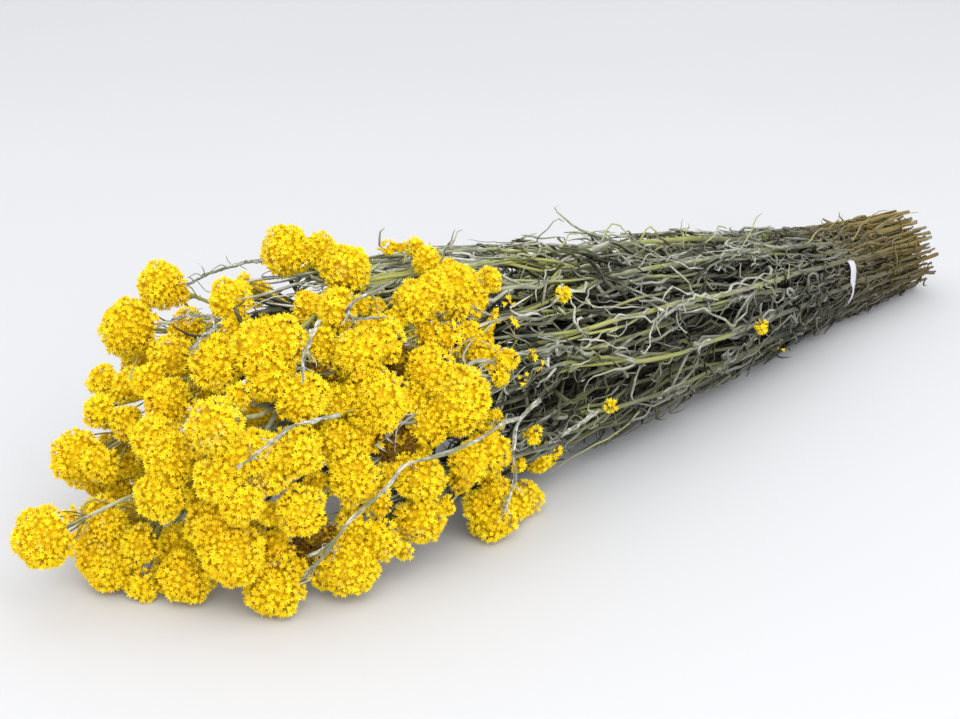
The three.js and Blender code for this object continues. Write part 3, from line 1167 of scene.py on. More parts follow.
    def routes_of_stubs(self, rng: Random) -> Array:
        """Runs short stalks through the tie: side stalks that broke off, whose cut ends are left.

        Args:
            rng: Source of the places.

        Returns:
            The routes, (stalks, stations, 3).
        """
        reach = self.thin_reach * np.sqrt(rng.uniform(0, 1, self.stub_count))
        turn = rng.uniform(0, 2 * np.pi, self.stub_count)
        out = np.stack([np.zeros_like(turn), np.cos(turn), np.sin(turn)], -1) * reach[:, None]
        cut = -rng.uniform(*self.cut_behind, self.stub_count) - self.stub_past
        front = rng.uniform(*self.stub_ahead, self.stub_count)
        back = self.envelope.middle(cut) + out * self.cut_spread + rng.normal(0, self.stub_spread, out.shape)
        ends = self.envelope.middle(front) + out
        ease = np.linspace(0, 1, self.stub_stations)
        routes = curve_through(np.stack([back, blend(back, ends, 0.5), ends], 1), self.stub_stations)
        return routes + ripple(rng, self.stub_count, ease, self.stub_waves) * self.stub_wander

    def nearest(self, point: Array, behind: float) -> Array:
        """Finds the place on a stem that is nearest to a point, at least so far behind it."""
        places = self.long_routes[self.long_routes[..., 0] > point[0] + behind]
        return places[np.linalg.norm(places - point, axis=1).argmin()]

    def swept(self, routes: Array, kind: StemKind, rng: Random) -> Surface:
        """Makes the stems of one kind.

        They taper to the flowers, have shrunk towards the dry cut, and swell at random nodes.

        Args:
            routes: Their routes.
            kind: The kind.
            rng: Source of their own sizes and tones.

        Returns:
            The stems.
        """
        count, stations, _ = routes.shape
        along = np.linspace(0, 1, stations)
        swell = 1 + self.swell * ripple(rng, count, along, self.swell_waves)[..., 0]
        own = rng.uniform(*self.own_size, (count, 1))
        shrunk = blend(self.shrunk_end, 1.0, smooth_step(along * self.shrunk_sharpness))
        width = kind.radius * own * (blend(1.0, kind.taper, along) * shrunk)[None] * swell
        tones = rng.uniform(*kind.tones, count)
        return sweep(routes, width, width * kind.flatness, UP, kind.sides, tones)

    def make(self, workshop: Workshop) -> None:
        """Makes the stems in place of the frame's plain ones.

        Args:
            workshop: What makes the pieces.
        """
        rng = np.random.default_rng(self.seed + 1)
        for number, name in enumerate(self.bunch.stems):
            main = self.swept(self.main_routes[[number]], self.main, rng)
            branch = self.swept(self.branch_routes[[number]], self.branch, rng)
            bark = self.envelope.shaded(join([main, branch]))
            workshop.piece(f"{name}_bark", [(bark, WOOLLY_STEM)], (name,))
        for name, routes, kind, finish in (
            ("thin_stems", self.thin_routes, self.thin, WOOLLY_STEM),
            ("broken_stalks", self.stub_routes, self.stub, CUT_PITH),
        ):
            made = self.envelope.shaded(self.swept(routes, kind, rng))
            workshop.piece(name, [(made, finish)])


@dataclass
class CutEnds:
    """The cut ends: the last stretch of every stem is bare, splayed and hollow in the middle.

    Each row of the sleeve is a distance inwards from the cut and a width over the stem's. It starts
    inside the cut as a small ring, so that the face is dished, steps out to the flared rim, and
    narrows on to the stem's bark.
    """

    stems: Stems
    seed: int = 19
    sleeve: tuple[Pair, ...] = (
        (1.2, 0.3), (0.35, 0.7), (0.0, 1.1), (0.4, 1.1), (2.0, 1.2), (6.5, 1.15), (13.0, 1.0)
    )
    sides: int = 8
    sizes: Pair = (0.9, 1.25)
    uneven: Pair = (-3.5, 2.0)
    splay: float = 0.6
    upward: float = 0.2
    flatness: float = 0.8
    tones: Pair = (0.1, 0.9)
    least_outer: float = 0.5

    def make(self, workshop: Workshop) -> None:
        """Sleeves each stem's end.

        Args:
            workshop: What makes the piece.
        """
        rng = np.random.default_rng(self.seed)
        stems = self.stems
        starts, steps, radii = [], [], []
        for routes, kind in (
            (stems.main_routes, stems.main),
            (stems.thin_routes, stems.thin),
            (stems.stub_routes, stems.stub),
        ):
            starts.append(routes[:, 0])
            steps.append(unit(routes[:, 1] - routes[:, 0]))
            radii.append(kind.radius * stems.shrunk_end * rng.uniform(*self.sizes, len(routes)))
        start, step, radius = (np.concatenate(row) for row in (starts, steps, radii))
        count = len(start)
        back = rng.uniform(*self.uneven, (count, 1))
        depth, share = np.array(self.sleeve).T
        paths = start[:, None] + step[:, None] * (depth[None] - back)[..., None]
        bend = rng.normal(0, 1.0, (count, 1, 3)) * (1 - depth / depth[-1])[None, :, None]
        width = radius[:, None] * share[None]
        tones = rng.uniform(*self.tones, count)
        across = rng.normal(0, 1, (count, 1, 3)) + np.array([0.0, 0.0, self.upward])
        made = sweep(paths + bend * self.splay, width, width * self.flatness, across, self.sides, tones)
        # Painted shade as on the stems, but never more than half.
        made = stems.envelope.shaded(made)
        made.values["outer"] = np.maximum(made.values["outer"], self.least_outer)
        workshop.piece("cut_ends", [(made, CUT_PITH)])


@dataclass(frozen=True)
class LeafKind:
    """One kind of leaf: how many, how large, where it grows and how it bends."""

    name: str
    finish: StrandFinish
    count: int
    length: Pair
    half_width: Pair
    zone: Pair
    ahead: Pair
    start_angle: Pair
    bend: float
    wave: float
    hook: float = 0.0
    pieces: int = 1
    stations: int = 6
    sides: int = 3
    flatness: Pair = (0.3, 0.6)
    free_share: float = 0.0


@dataclass
class Leaves:
    """The dried leaves: narrow felted ribbons that leave the stems forwards, wave and curl up."""

    stems: Stems
    envelope: Envelope
    seed: int = 23
    kinds: tuple[LeafKind, ...] = (
        # Painted shade: dark leaves deep in the bunch.
        LeafKind(
            "painted_shade_leaves", SHADED_LEAF, count=1500, length=(20, 42), half_width=(0.8, 1.4), zone=(0.0, 0.86),
            ahead=(-60, 290), start_angle=(0.0, 0.5), bend=0.5, wave=1.5,
        ),
        LeafKind(
            "straw", STRAW, count=800, length=(8, 22), half_width=(0.35, 0.8), zone=(0.0, 1.1),
            ahead=(-84, -8), start_angle=(0.0, 0.7), bend=0.8, wave=1.4, hook=0.6, free_share=0.1,
        ),
        # Painted shade: dark leaves under the flowers.
        LeafKind(
            "under_flowers", SHADED_LEAF, count=400, length=(14, 34), half_width=(0.7, 1.3), zone=(0.0, 0.8),
            ahead=(215, 330), start_angle=(0.1, 0.7), bend=0.8, wave=1.5, hook=0.3,
        ),
        LeafKind(
            "long_leaves", FELTED_LEAF, count=1350, length=(22, 52), half_width=(0.45, 0.85),
            zone=(0.5, 1.1), ahead=(-30, 290), start_angle=(0.05, 0.5), bend=0.6, wave=2.8, hook=0.9,
            pieces=2, stations=11, sides=4, free_share=0.03,
        ),
        LeafKind(
            "curled_leaves", FELTED_LEAF, count=1060, length=(9, 24), half_width=(0.42, 0.85),
            zone=(0.6, 1.1), ahead=(-56, 290), start_angle=(0.2, 0.9), bend=1.0, wave=0.8, hook=1.9,
            stations=10, sides=4, free_share=0.06,
        ),
        LeafKind(
            "tie_leaves", FELTED_LEAF, count=420, length=(8, 22), half_width=(0.5, 1.0), zone=(0.7, 1.1),
            ahead=(-50, 80), start_angle=(0.2, 1.2), bend=1.2, wave=1.0, hook=2.2, stations=9,
            free_share=0.06,
        ),
    )
    tries_each: int = 8
    outward_share: float = 0.7
    outward_spread: float = 0.75
    mean_bend: float = -0.3
    hook_shape: float = 1.6
    waves: Triple = (0.9, 2.1, 3.4)
    wave_sizes: Pair = (0.4, 1.4)
    most_droop: float = 4.0
    free_give: float = 0.75
    held_give: float = 0.15
    foot_width: float = 0.55
    widening: float = 2.2
    tip_room: float = 1.04
    tip_power: float = 2.2
    twist: float = 0.9
    tone: Pair = (0.5, 0.26)

    def feet(self, kind: LeafKind, rng: Random) -> tuple[Array, Array]:
        """Chooses where leaves grow, evenly along the bunch.

        Args:
            kind: The kind of leaf.
            rng: Source of the places.

        Returns:
            The leaves' feet, and the stems' directions there.
        """
        routes = self.stems.long_routes
        depth = self.envelope.depth(routes)
        tangent = unit(np.gradient(routes, axis=1))
        tries = kind.count * self.tries_each
        stem = rng.integers(0, len(routes), tries)
        target = rng.uniform(*kind.ahead, tries)
        station = np.abs(self.stems.bunch.ahead(routes)[stem] - target[:, None]).argmin(1)
        fits = (depth[stem, station] > kind.zone[0]) & (depth[stem, station] < kind.zone[1])
        stem, station = stem[fits][: kind.count], station[fits][: kind.count]
        beside = np.clip(station + 1, 0, routes.shape[1] - 1)
        nudge = rng.uniform(-0.5, 0.5, (len(stem), 1))
        foot = blend(routes[stem, station], routes[stem, beside], nudge)
        return foot, tangent[stem, station]

    def paths(self, kind: LeafKind, foot: Array, forward: Array, rng: Random) -> tuple[Array, Array]:
        """Curls a leaf from each foot.

        Its angle from the stem is a start, a steady bend and a hook that grows with the cube of the
        share along it. Each step goes by the angle's cosine forwards and its sine outwards, and a
        wave and a droop are added on top.

        Args:
            kind: The kind of leaf.
            foot: Where the leaves start, (leaves, 3).
            forward: The stems' directions there, (leaves, 3).
            rng: Source of every leaf's own bends.

        Returns:
            The paths, (leaves, stations, 3), and the direction across each leaf.
        """
        count = len(foot)
        outward = foot - self.envelope.middle(self.stems.bunch.ahead(foot))
        outward[:, 0] = 0.0
        spread = rng.normal(0, self.outward_spread, (count, 3))
        outward = unit(unit(outward) * self.outward_share + spread)
        outward = unit(outward - (outward * forward).sum(1, keepdims=True) * forward)
        share = np.linspace(0, 1, kind.stations)
        start = rng.uniform(*kind.start_angle, (count, 1))
        bend = rng.normal(self.mean_bend, 1.0, (count, 1)) * kind.bend
        hook = rng.gamma(self.hook_shape, 1.0, (count, 1))
        hook = hook * rng.choice([-1.0, 1.0], (count, 1)) * kind.hook
        angle = start + bend * share + hook * share**3
        step = rng.uniform(*kind.length, (count, 1)) / (kind.stations - 1)
        along = np.cumsum(np.cos(angle) * step, axis=1)
        out = np.cumsum(np.sin(angle) * step, axis=1)
        across = np.cross(forward, outward)
        path = foot[:, None] + along[..., None] * forward[:, None] + out[..., None] * outward[:, None]
        ease = np.minimum(1, 3 * share)[None, :, None]
        wave = ripple(rng, count, share, self.waves) * kind.wave
        wave = wave * rng.uniform(*self.wave_sizes, (count, 1, 1))
        droop = np.array([0.0, 0.0, -1.0]) * (share**2)[None, :, None]
        droop = droop * rng.uniform(0, self.most_droop, (count, 1, 1))
        return path + wave * ease + droop, across

    def make(self, workshop: Workshop) -> None:
        """Makes the leaves as a few pieces, held by the outline of the bunch.

        Args:
            workshop: What makes the pieces.
        """
        rng = np.random.default_rng(self.seed)
        for kind in self.kinds:
            foot, forward = self.feet(kind, rng)
            count = len(foot)
            path, across = self.paths(kind, foot, forward, rng)
            free = rng.uniform(size=(count, 1, 1)) < kind.free_share
            path = self.envelope.held(path, np.where(free, self.free_give, self.held_give))
            share = np.linspace(0, 1, kind.stations)[None]
            narrowed = np.sqrt(np.clip(self.tip_room - share**self.tip_power, 0, 1))
            profile = np.minimum(self.foot_width + self.widening * share, 1.0) * narrowed
            width = rng.uniform(*kind.half_width, (count, 1)) * profile
            depth = width * rng.uniform(*kind.flatness, (count, 1))
            twist = rng.normal(0, self.twist, (count, 1, 1)) * share[..., None]
            tangent = unit(np.gradient(path, axis=1))
            side = across[:, None] * np.cos(twist) + np.cross(tangent, across[:, None]) * np.sin(twist)
            tones = np.clip(rng.normal(*self.tone, count), 0, 1)
            for number in range(kind.pieces):
                own = slice(number, None, kind.pieces)
                made = sweep(path[own], width[own], depth[own], side[own], kind.sides, tones[own])
                made = self.envelope.shaded(made)
                workshop.piece(f"{kind.name}_{number + 1:02d}", [(made, kind.finish)])


# Flower heads


@dataclass(frozen=True)
class FloretShape:
    """One floret in millimetres: a tapered cup with pointed bracts round its rim.

    The rim goes from a notch to a bract's tip and on to the next notch, each given by its radius and
    height. The cup's inside runs down to a deep heart, its outside to a narrow base.
    """

    bracts: int = 6
    heart_depth: float = 0.3
    base_depth: float = 1.2
    notch: Pair = (0.64, 0.12)
    tip: Pair = (1.34, 0.5)
    closed_notch: Pair = (0.4, 0.35)
    closed_tip: Pair = (0.75, 1.3)

    def rim(self, notch: Pair, tip: Pair) -> Array:
        """Places the rim's points at even turns.

        Args:
            notch: The radius and height of the points between bracts.
            tip: The radius and height of the bracts' tips.

        Returns:
            The points, (2 * bracts, 3).
        """
        angle = np.arange(self.bracts * 2) * np.pi / self.bracts
        radius, height = np.tile(np.array([notch, tip]).T, self.bracts)
        return np.stack([radius * np.cos(angle), radius * np.sin(angle), height], -1)

    def points(self, openness: Array) -> Array:
        """Gives the points of florets.

        Args:
            openness: How far each is open, from 0 to 1.

        Returns:
            Points, (florets, points, 3).
        """
        closed = self.rim(self.closed_notch, self.closed_tip)
        opened = self.rim(self.notch, self.tip)
        rim = blend(closed[None], opened[None], openness[:, None, None])
        inner = [[0.0, 0.0, -self.heart_depth], [0.0, 0.0, -self.base_depth]]
        return np.concatenate([rim, np.tile(inner, (len(openness), 1, 1))], axis=1)

    def faces(self) -> Array:
        """Joins each rim edge to the heart on the inside and to the base on the outside."""
        count = self.bracts * 2
        return np.concatenate([fan(count, 0, count), fan(count + 1, 0, count, turned=True)])

    def reach(self) -> Array:
        """Says how far out along a bract each point is, from the heart at 0 to the tips at 1."""
        return np.concatenate([np.tile([0.5, 1.0], self.bracts), [0.0, 0.1]])


@dataclass
class Florets:
    """Covers heads with hundreds of florets, on stalks that spread from the stem behind."""

    candidates_per_mm2: float = 1.9
    roundness: float = 0.75
    clump_spacing: float = 6.5
    clump_reach: float = 4.0
    clump_lift: float = 1.5
    clump_tilt: float = 0.5
    random_tilt: float = 0.34
    size_spread: Pair = (0.72, 1.22)
    lift: float = 0.1
    lift_spread: float = 0.25
    ground_depth: float = 1.2
    bare_from: float = 0.72
    stalk_spacing: float = 4.2
    stalk_radius: float = 0.3
    stalk_join: float = 7.0
    floor_gap: float = 0.1
    lowest: float = 1.2
    dome_middle: float = 0.6
    open_shape: Pair = (2.6, 1.2)
    bare_edge: float = 0.06
    ground_share: float = 0.5
    stalk_bend: float = 0.55
    stalk_bulge: float = 1.2
    stalk_spread: float = 0.5
    stalk_inset: float = 0.2
    stalk_tones: Pair = (0.2, 0.8)
    fewest_stalks: int = 4
    shape: FloretShape = FloretShape()

    def scatter(self, head: Surface, rng: Random) -> tuple[Array, Array]:
        """Spreads points evenly over a head, rounded between its corners.

        A point in a triangle moves, by the roundness, towards the planes that stand square to the
        normals at its corners, so that flat faces bulge.

        Args:
            head: The head's closed surface.
            rng: Source of the places.

        Returns:
            The points and their normals.
        """
        a, b, c = (head.points[head.faces[:, corner]] for corner in range(3))
        area = np.linalg.norm(np.cross(b - a, c - a), axis=1) / 2
        count = int(area.sum() * self.candidates_per_mm2)
        picked = rng.choice(len(area), count, p=area / area.sum())
        share = rng.dirichlet((1.0, 1.0, 1.0), count)[..., None]
        corners = head.points[head.faces[picked]]
        normals = head.normals()[head.faces[picked]]
        flat = (corners * share).sum(1)
        off = ((flat[:, None] - corners) * normals).sum(-1, keepdims=True)
        bulged = (share * (flat[:, None] - off * normals)).sum(1)
        return blend(flat, bulged, self.roundness), unit((normals * share).sum(1))

    def clumped(self, points: Array, normals: Array, rng: Random) -> tuple[Array, Array]:
        """Gathers florets in small domes.

        Each point belongs to its nearest clump middle. It is lifted by the clump's lift, less the
        square of its distance from the middle over the clump's reach, and leans away from it.

        Args:
            points: Places on the head.
            normals: The directions square to it there.
            rng: Source of the clumps.

        Returns:
            The lifted places and their new directions.
        """
        middles = points[thinned(points, self.clump_spacing, rng)]
        between = points[:, None] - middles[None]
        nearest = np.linalg.norm(between, axis=2).argmin(1)
        away = between[np.arange(len(points)), nearest] / self.clump_reach
        square = np.clip((away**2).sum(1, keepdims=True), 0, 1)
        lifted = points + normals * self.clump_lift * (self.dome_middle - square)
        return lifted, unit(normals + self.clump_tilt * away)

    def florets(self, points: Array, normals: Array, scale: float, rng: Random) -> Surface:
        """Sets a floret at every point, each with its own size, spin, lean and openness.

        A point is its floret's place plus x and y times two directions square to the floret's axis,
        plus z times the axis, all times its size.

        Args:
            points: The florets' places.
            normals: The directions that they stand in, before they lean.
            scale: Their size over their usual size.
            rng: Source of everything random.

        Returns:
            The florets.
        """
        count = len(points)
        axis = unit(normals + rng.normal(0, self.random_tilt, (count, 3)))
        aside = unit(np.cross(axis, rng.normal(0, 1, (count, 3))))
        beside = np.cross(axis, aside)
        size = rng.uniform(*self.size_spread, (count, 1, 1)) * scale
        local = self.shape.points(rng.beta(*self.open_shape, count)) * size
        lift = self.lift + rng.normal(0, self.lift_spread, (count, 1))
        placed = (
            (points + axis * lift)[:, None]
            + local[..., :1] * aside[:, None]
            + local[..., 1:2] * beside[:, None]
            + local[..., 2:] * axis[:, None]
        )
        each = placed.shape[1]
        tones = np.repeat(rng.uniform(0, 1, count), each)
        values = {"reach": np.tile(self.shape.reach(), count), "tone": tones}
        return Surface(placed.reshape(-1, 3), repeated(self.shape.faces(), count, each), values)

    def stalks(self, points: Array, normals: Array, start: Array, rng: Random) -> Surface:
        """Spreads stalks from the end of the stem to the bare points behind the head.

        Each runs along a curve that leaves the stem forwards and turns out to its point.

        Args:
            points: The bare points.
            normals: The directions square to the head there.
            start: The end of the stem.
            rng: Source of their feet and tones.

        Returns:
            The stalks.
        """
        ends = points - normals * self.stalk_inset
        feet = np.broadcast_to(start, ends.shape) + rng.normal(0, self.stalk_spread, ends.shape)
        bulge = unit(ends - points.mean(0) + 1e-3) * self.stalk_bulge
        paths = curve_through(np.stack([feet, blend(feet, ends, self.stalk_bend) + bulge, ends], 1), 5)
        radius = np.full(paths.shape[:2], self.stalk_radius)
        across = rng.normal(0, 1, (len(ends), 1, 3))
        return sweep(paths, radius, radius, across, 3, rng.uniform(*self.stalk_tones, len(ends))).lit(1.0)

    def cover(
        self, head: Surface, backwards: Array, spacing: float, scale: float, rng: Random,
        bract: PaperyBract = PaperyBract(),
    ) -> Finished:
        """Covers a head with florets, and its back with stalks, over a mottled ground.

        Args:
            head: The head's closed surface.
            backwards: The direction from its middle to its stem.
            spacing: The least distance between florets.
            scale: The florets' size over their usual size.
            rng: Source of everything random.
            bract: The florets' finish.

        Returns:
            Each surface with its finish.
        """
        points, normals = self.scatter(head, rng)
        kept = thinned(points, spacing, rng)
        points, normals = points[kept], normals[kept]
        bare = normals @ backwards > self.bare_from + rng.normal(0, self.bare_edge, len(points))
        placed, leaning = self.clumped(points[~bare], normals[~bare], rng)
        placed[:, 2] = np.maximum(placed[:, 2], self.lowest)
        flowers = self.florets(placed, leaning, scale, rng)
        ground = head.grown(-min(self.ground_depth, head.radius() * self.ground_share))
        surfaces: Finished = [(flowers, bract), (ground, HeadGround())]
        points, normals = points[bare], normals[bare]
        if len(points) >= self.fewest_stalks:
            kept = thinned(points, self.stalk_spacing, rng)
            if len(kept) >= self.fewest_stalks:
                start = head.middle() + backwards * (head.radius() + self.stalk_join)
                surfaces.append((self.stalks(points[kept], normals[kept], start, rng), FLOWER_STALK))
        for surface, _ in surfaces:
            surface.points[:, 2] = np.maximum(surface.points[:, 2], self.floor_gap)
        return surfaces


@dataclass
class FlowerHeads:
    """The large flower heads, one piece for each of the frame's; a few have shrunk more than others."""

    bunch: Bunch
    stems: Stems
    florets: Florets
    seed: int = 41
    spacing: float = 1.2
    inset: float = 0.3
    shrunk_insets: tuple[tuple[int, float], ...] = (
        (2, 1.3), (3, 1.3), (5, 1.3), (6, 2.8), (10, 3.0), (24, 5.4), (25, 1.4), (26, 1.2), (28, 1.2),
        (36, 4.4),
    )

    def backwards(self) -> dict[str, Array]:
        """Gives the direction from each head's middle back along its stem."""
        routes = [route for pair in zip(self.stems.main_routes, self.stems.branch_routes) for route in pair]
        return {name: unit(route[-4] - route[-1]) for name, route in zip(self.bunch.heads, routes)}

    def make(self, workshop: Workshop) -> None:
        """Makes one piece for each head.

        Args:
            workshop: What makes the pieces.
        """
        rng = np.random.default_rng(self.seed)
        backwards = self.backwards()
        for number, (name, head) in enumerate(self.bunch.heads.items(), 1):
            under = head.grown(-dict(self.shrunk_insets).get(number, self.inset))
            surfaces = self.florets.cover(under, backwards[name], self.spacing, 1.0, rng)
            workshop.piece(f"{name}_florets", surfaces, (name,), smooth=False)


@dataclass
class SmallHeads:
    """Small heads between and behind the large ones, and flower buds on the stems.

    Small heads are places from the tie with a radius. Lobes are pixels with a radius and a depth, and
    stand as far off as the large heads beside them; those deep in the gaps take a dark brown bract as
    painted shade. Buds are pixels with a radius, in the outline of the stems. Inner heads stand where
    large ones surround them.
    """

    carrier: Carrier
    stems: Stems
    florets: Florets
    seed: int = 77
    spacing: float = 1.2
    ball_rings: int = 7
    ball_sides: int = 12
    ball_inset: float = 0.8
    least_ball: float = 1.0
    stalk_radius: float = 0.5
    stalk_droop: float = 0.1
    stalk_stations: int = 10
    stalk_flatness: float = 0.9
    stalk_tones: Pair = (0.3, 0.7)
    # Their stalks take a little painted shade.
    stalk_outer: float = 0.8
    head_behind: float = 12.0
    lobe_behind: float = 14.0
    bud_behind: float = 3.0
    bud_lift: float = 1.5
    inner_spacing: float = 1.6
    inner_scale: float = 1.1
    inner_stalk: float = 0.8
    inner_behind: float = 25.0
    inner_count: int = 5
    inner_radius: Pair = (7.0, 9.5)
    inner_gap: float = 12.0
    inner_tries: int = 6000
    inner_most: int = 2500
    inner_clear: float = 1.15
    neighbours: int = 6
    most_uneven: float = 0.5
    neighbours_within: float = 42.0
    inner_lowest: float = 11.0
    rays: int = 48
    rim: float = 1.3
    inner_closed: float = 0.45
    inner_framed: float = 0.9
    inner_sight: float = 60.0
    far: float = 9999.0
    lobes: tuple[Quad, ...] = (
        (345, 360, 7.0, 2.0), (320, 345, 6.0, 2.0), (338, 400, 5.5, 3.0), (359, 306, 4.0, 3.0),
        (424, 332, 6.0, -1.0), (427, 262, 5.5, -3.0), (402, 304, 4.5, 0.0), (398, 319, 4.0, 2.0),
        (467, 357, 4.5, 2.0), (506, 360, 4.5, -4.0), (446, 338, 5.5, -6.0), (470, 334, 5.0, -6.0),
        (500, 377, 4.0, 0.0), (482, 358, 5.5, -3.0), (494, 418, 4.0, 0.0), (412, 400, 5.0, 2.0),
        (188, 326, 6.5, 9.0), (204, 388, 5.0, 9.0), (238, 396, 4.5, 6.0), (262, 413, 6.5, -4.0),
        (276, 420, 5.5, 3.0), (175, 291, 5.0, 3.0), (338, 380, 6.0, 12.0), (325, 430, 7.0, 5.0),
        (343, 424, 5.0, 3.0), (336, 441, 7.0, 8.0), (352, 456, 6.0, 12.0), (362, 436, 6.5, 6.0),
        (388, 474, 5.0, 9.0), (378, 500, 5.0, 5.0), (462, 478, 5.0, 4.0), (337, 538, 5.5, 5.0),
        (418, 453, 5.5, 3.0), (404, 463, 5.0, 6.0), (127, 466, 4.5, 3.0), (352, 522, 6.0, 7.0),
        (325, 563, 5.0, 3.0), (318, 486, 5.0, 12.0), (296, 566, 4.5, 5.0), (270, 514, 4.5, 6.0),
        (198, 502, 5.5, 6.0), (122, 490, 5.5, 6.0), (134, 516, 5.5, 8.0), (72, 515, 3.4, 1.0),
        (80, 542, 4.5, 1.0), (112, 574, 6.0, 3.0), (142, 586, 5.0, 5.0), (168, 576, 6.0, 6.0),
        (152, 538, 5.5, 4.0), (446, 506, 4.0, 3.0), (478, 506, 5.5, 1.0), (517, 464, 4.0, 0.0),
    )
    # Lobes deep in the gaps, in a dark brown bract that stands for painted shade.
    painted_shade: tuple[Quad, ...] = (
        (315, 532, 6.5, 14.0), (302, 552, 5.0, 10.0), (404, 362, 6.0, 12.0), (321, 376, 5.5, 10.0),
        (393, 440, 8.0, 14.0),
    )
    small: tuple[Quad, ...] = (
        (348, -47, 22, 5.7), (316, 41, 66, 5.4), (301, -20, 88, 3.6), (292, -31, 84, 4.6),
        (308, -62, 12, 3.6), (322, -9, 80, 4.2), (327, -9, 74, 4.2),
    )
    buds: tuple[Triple, ...] = (
        (533, 437, 3.7), (556, 450, 3.4), (565, 293, 3.2), (762, 328, 3.0), (612, 405, 2.8),
        (532, 355, 1.7), (541, 368, 1.5), (525, 380, 1.8), (510, 302, 1.6), (515, 322, 1.5),
        (778, 348, 1.2),
    )

    def ball(self, middle: Array, radius: float) -> Surface:
        """Makes a closed ball of rings of latitude between two poles.

        Args:
            middle: Its middle.
            radius: Its radius.

        Returns:
            The ball.
        """
        rings, sides = self.ball_rings, self.ball_sides
        tilt = np.linspace(0, np.pi, rings + 2)[1:-1, None]
        turn = np.arange(sides) / sides * 2 * np.pi
        flat = [np.sin(tilt) * np.cos(turn), np.sin(tilt) * np.sin(turn), np.repeat(np.cos(tilt), sides, 1)]
        ring = np.stack(flat, -1).reshape(-1, 3)
        points = np.concatenate([ring, [[0, 0, 1.0], [0, 0, -1.0]]]) * radius + middle
        a, b, c, d = cells(rings, sides)
        wall = np.concatenate([np.stack([a, c, d], -1), np.stack([a, d, b], -1)]).reshape(-1, 3)
        top = fan(rings * sides, 0, sides)
        low = fan(rings * sides + 1, (rings - 1) * sides, sides, turned=True)
        return Surface(points, np.concatenate([wall, top, low]))

    def stalk(self, middle: Array, radius: float, behind: float, rng: Random) -> Surface:
        """Runs a thin stalk from the nearest stem to a head.

        Args:
            middle: The head's middle.
            radius: The stalk's half width.
            behind: How far behind the head it leaves the stem, at least.
            rng: Source of its tone.

        Returns:
            The stalk.
        """
        start = self.stems.nearest(middle, behind)
        sag = np.array([0.0, 0.0, -self.stalk_droop]) * np.linalg.norm(middle - start)
        controls = np.array([[start, blend(start, middle, 0.5) + sag, middle]])
        path = curve_through(controls, self.stalk_stations)
        width = np.full((1, self.stalk_stations), radius)
        tone = rng.uniform(*self.stalk_tones, 1)
        return sweep(path, width, width * self.stalk_flatness, UP, 6, tone).lit(self.stalk_outer)

    def inner_places(self, rng: Random) -> Array:
        """Chooses the inner heads' middles.

        Of random places, those stay that large heads surround: the directions to the nearest ones
        cancel out, many lines of sight meet one, and the camera sees them inside their outline.

        Args:
            rng: Source of the places.

        Returns:
            The middles, (heads, 3).
        """
        heads = list(self.stems.bunch.heads.values())
        middles = np.array([head.middle() for head in heads])
        radii = np.array([head.radius() for head in heads])
        tries = rng.uniform(middles.min(0), middles.max(0), (self.inner_tries, 3))
        between = middles[None] - tries[:, None]
        distance = np.linalg.norm(between, axis=2)
        clear = (distance / radii[None]).min(1) > self.inner_clear
        nearest = np.argsort(distance, axis=1)[:, : self.neighbours]
        towards = np.take_along_axis(unit(between), nearest[..., None], 1).mean(1)
        inside = np.linalg.norm(towards, axis=1) < self.most_uneven
        close = np.take_along_axis(distance, nearest, 1).mean(1) < self.neighbours_within
        tries = tries[clear & inside & close & (tries[:, 2] > self.inner_lowest)][: self.inner_most]
        tries = tries[thinned(tries, self.inner_gap, rng)]
        tree = join(heads).tree()
        eye = self.carrier.view.eye()
        kept = []
        for place in tries:
            ways = unit(rng.normal(0, 1, (self.rays, 3)))
            closed = self.met(tree, place, ways, self.inner_sight)
            rim = unit(place + ways * max(self.inner_radius) * self.rim - eye)
            if closed > self.inner_closed and self.met(tree, eye, rim, self.far) > self.inner_framed:
                kept.append(place)
        return np.array(kept[: self.inner_count])

    def met(self, tree: BVHTree, start: Array, ways: Array, sight: float) -> float:
        """Says what share of the rays from a point meet the surface within sight."""
        found = [tree.ray_cast(start.tolist(), way, sight)[3] is not None for way in ways.tolist()]
        return float(np.mean(found))

    def places(self) -> list[tuple[str, Array, float, float]]:
        """Lists the small heads, lobes and buds.

        Returns:
            For each, its kind, middle, radius, and how far behind it its stalk starts.
        """
        rows = []
        for ahead, side, height, radius in self.small:
            middle = self.stems.bunch.place(ahead, side, height)
            rows.append(("small_head", middle, radius, self.head_behind))
        for kind, lobes in (("side_lobe", self.lobes), ("painted_shade_lobe", self.painted_shade)):
            for u, v, radius, back in lobes:
                rows.append((kind, self.carrier.level((u, v), back, radius), radius, self.lobe_behind))
        for u, v, radius in self.buds:
            rows.append(("side_bud", self.carrier.at((u, v), -self.bud_lift), radius, self.bud_behind))
        return rows

    def make(self, workshop: Workshop) -> None:
        """Makes the small heads, the buds and the inner heads.

        Args:
            workshop: What makes the pieces.
        """
        rng = np.random.default_rng(self.seed)
        backwards = np.array([1.0, 0.0, 0.0])
        for number, (kind, middle, radius, behind) in enumerate(self.places(), 1):
            ball = self.ball(middle, max(radius - self.ball_inset, self.least_ball))
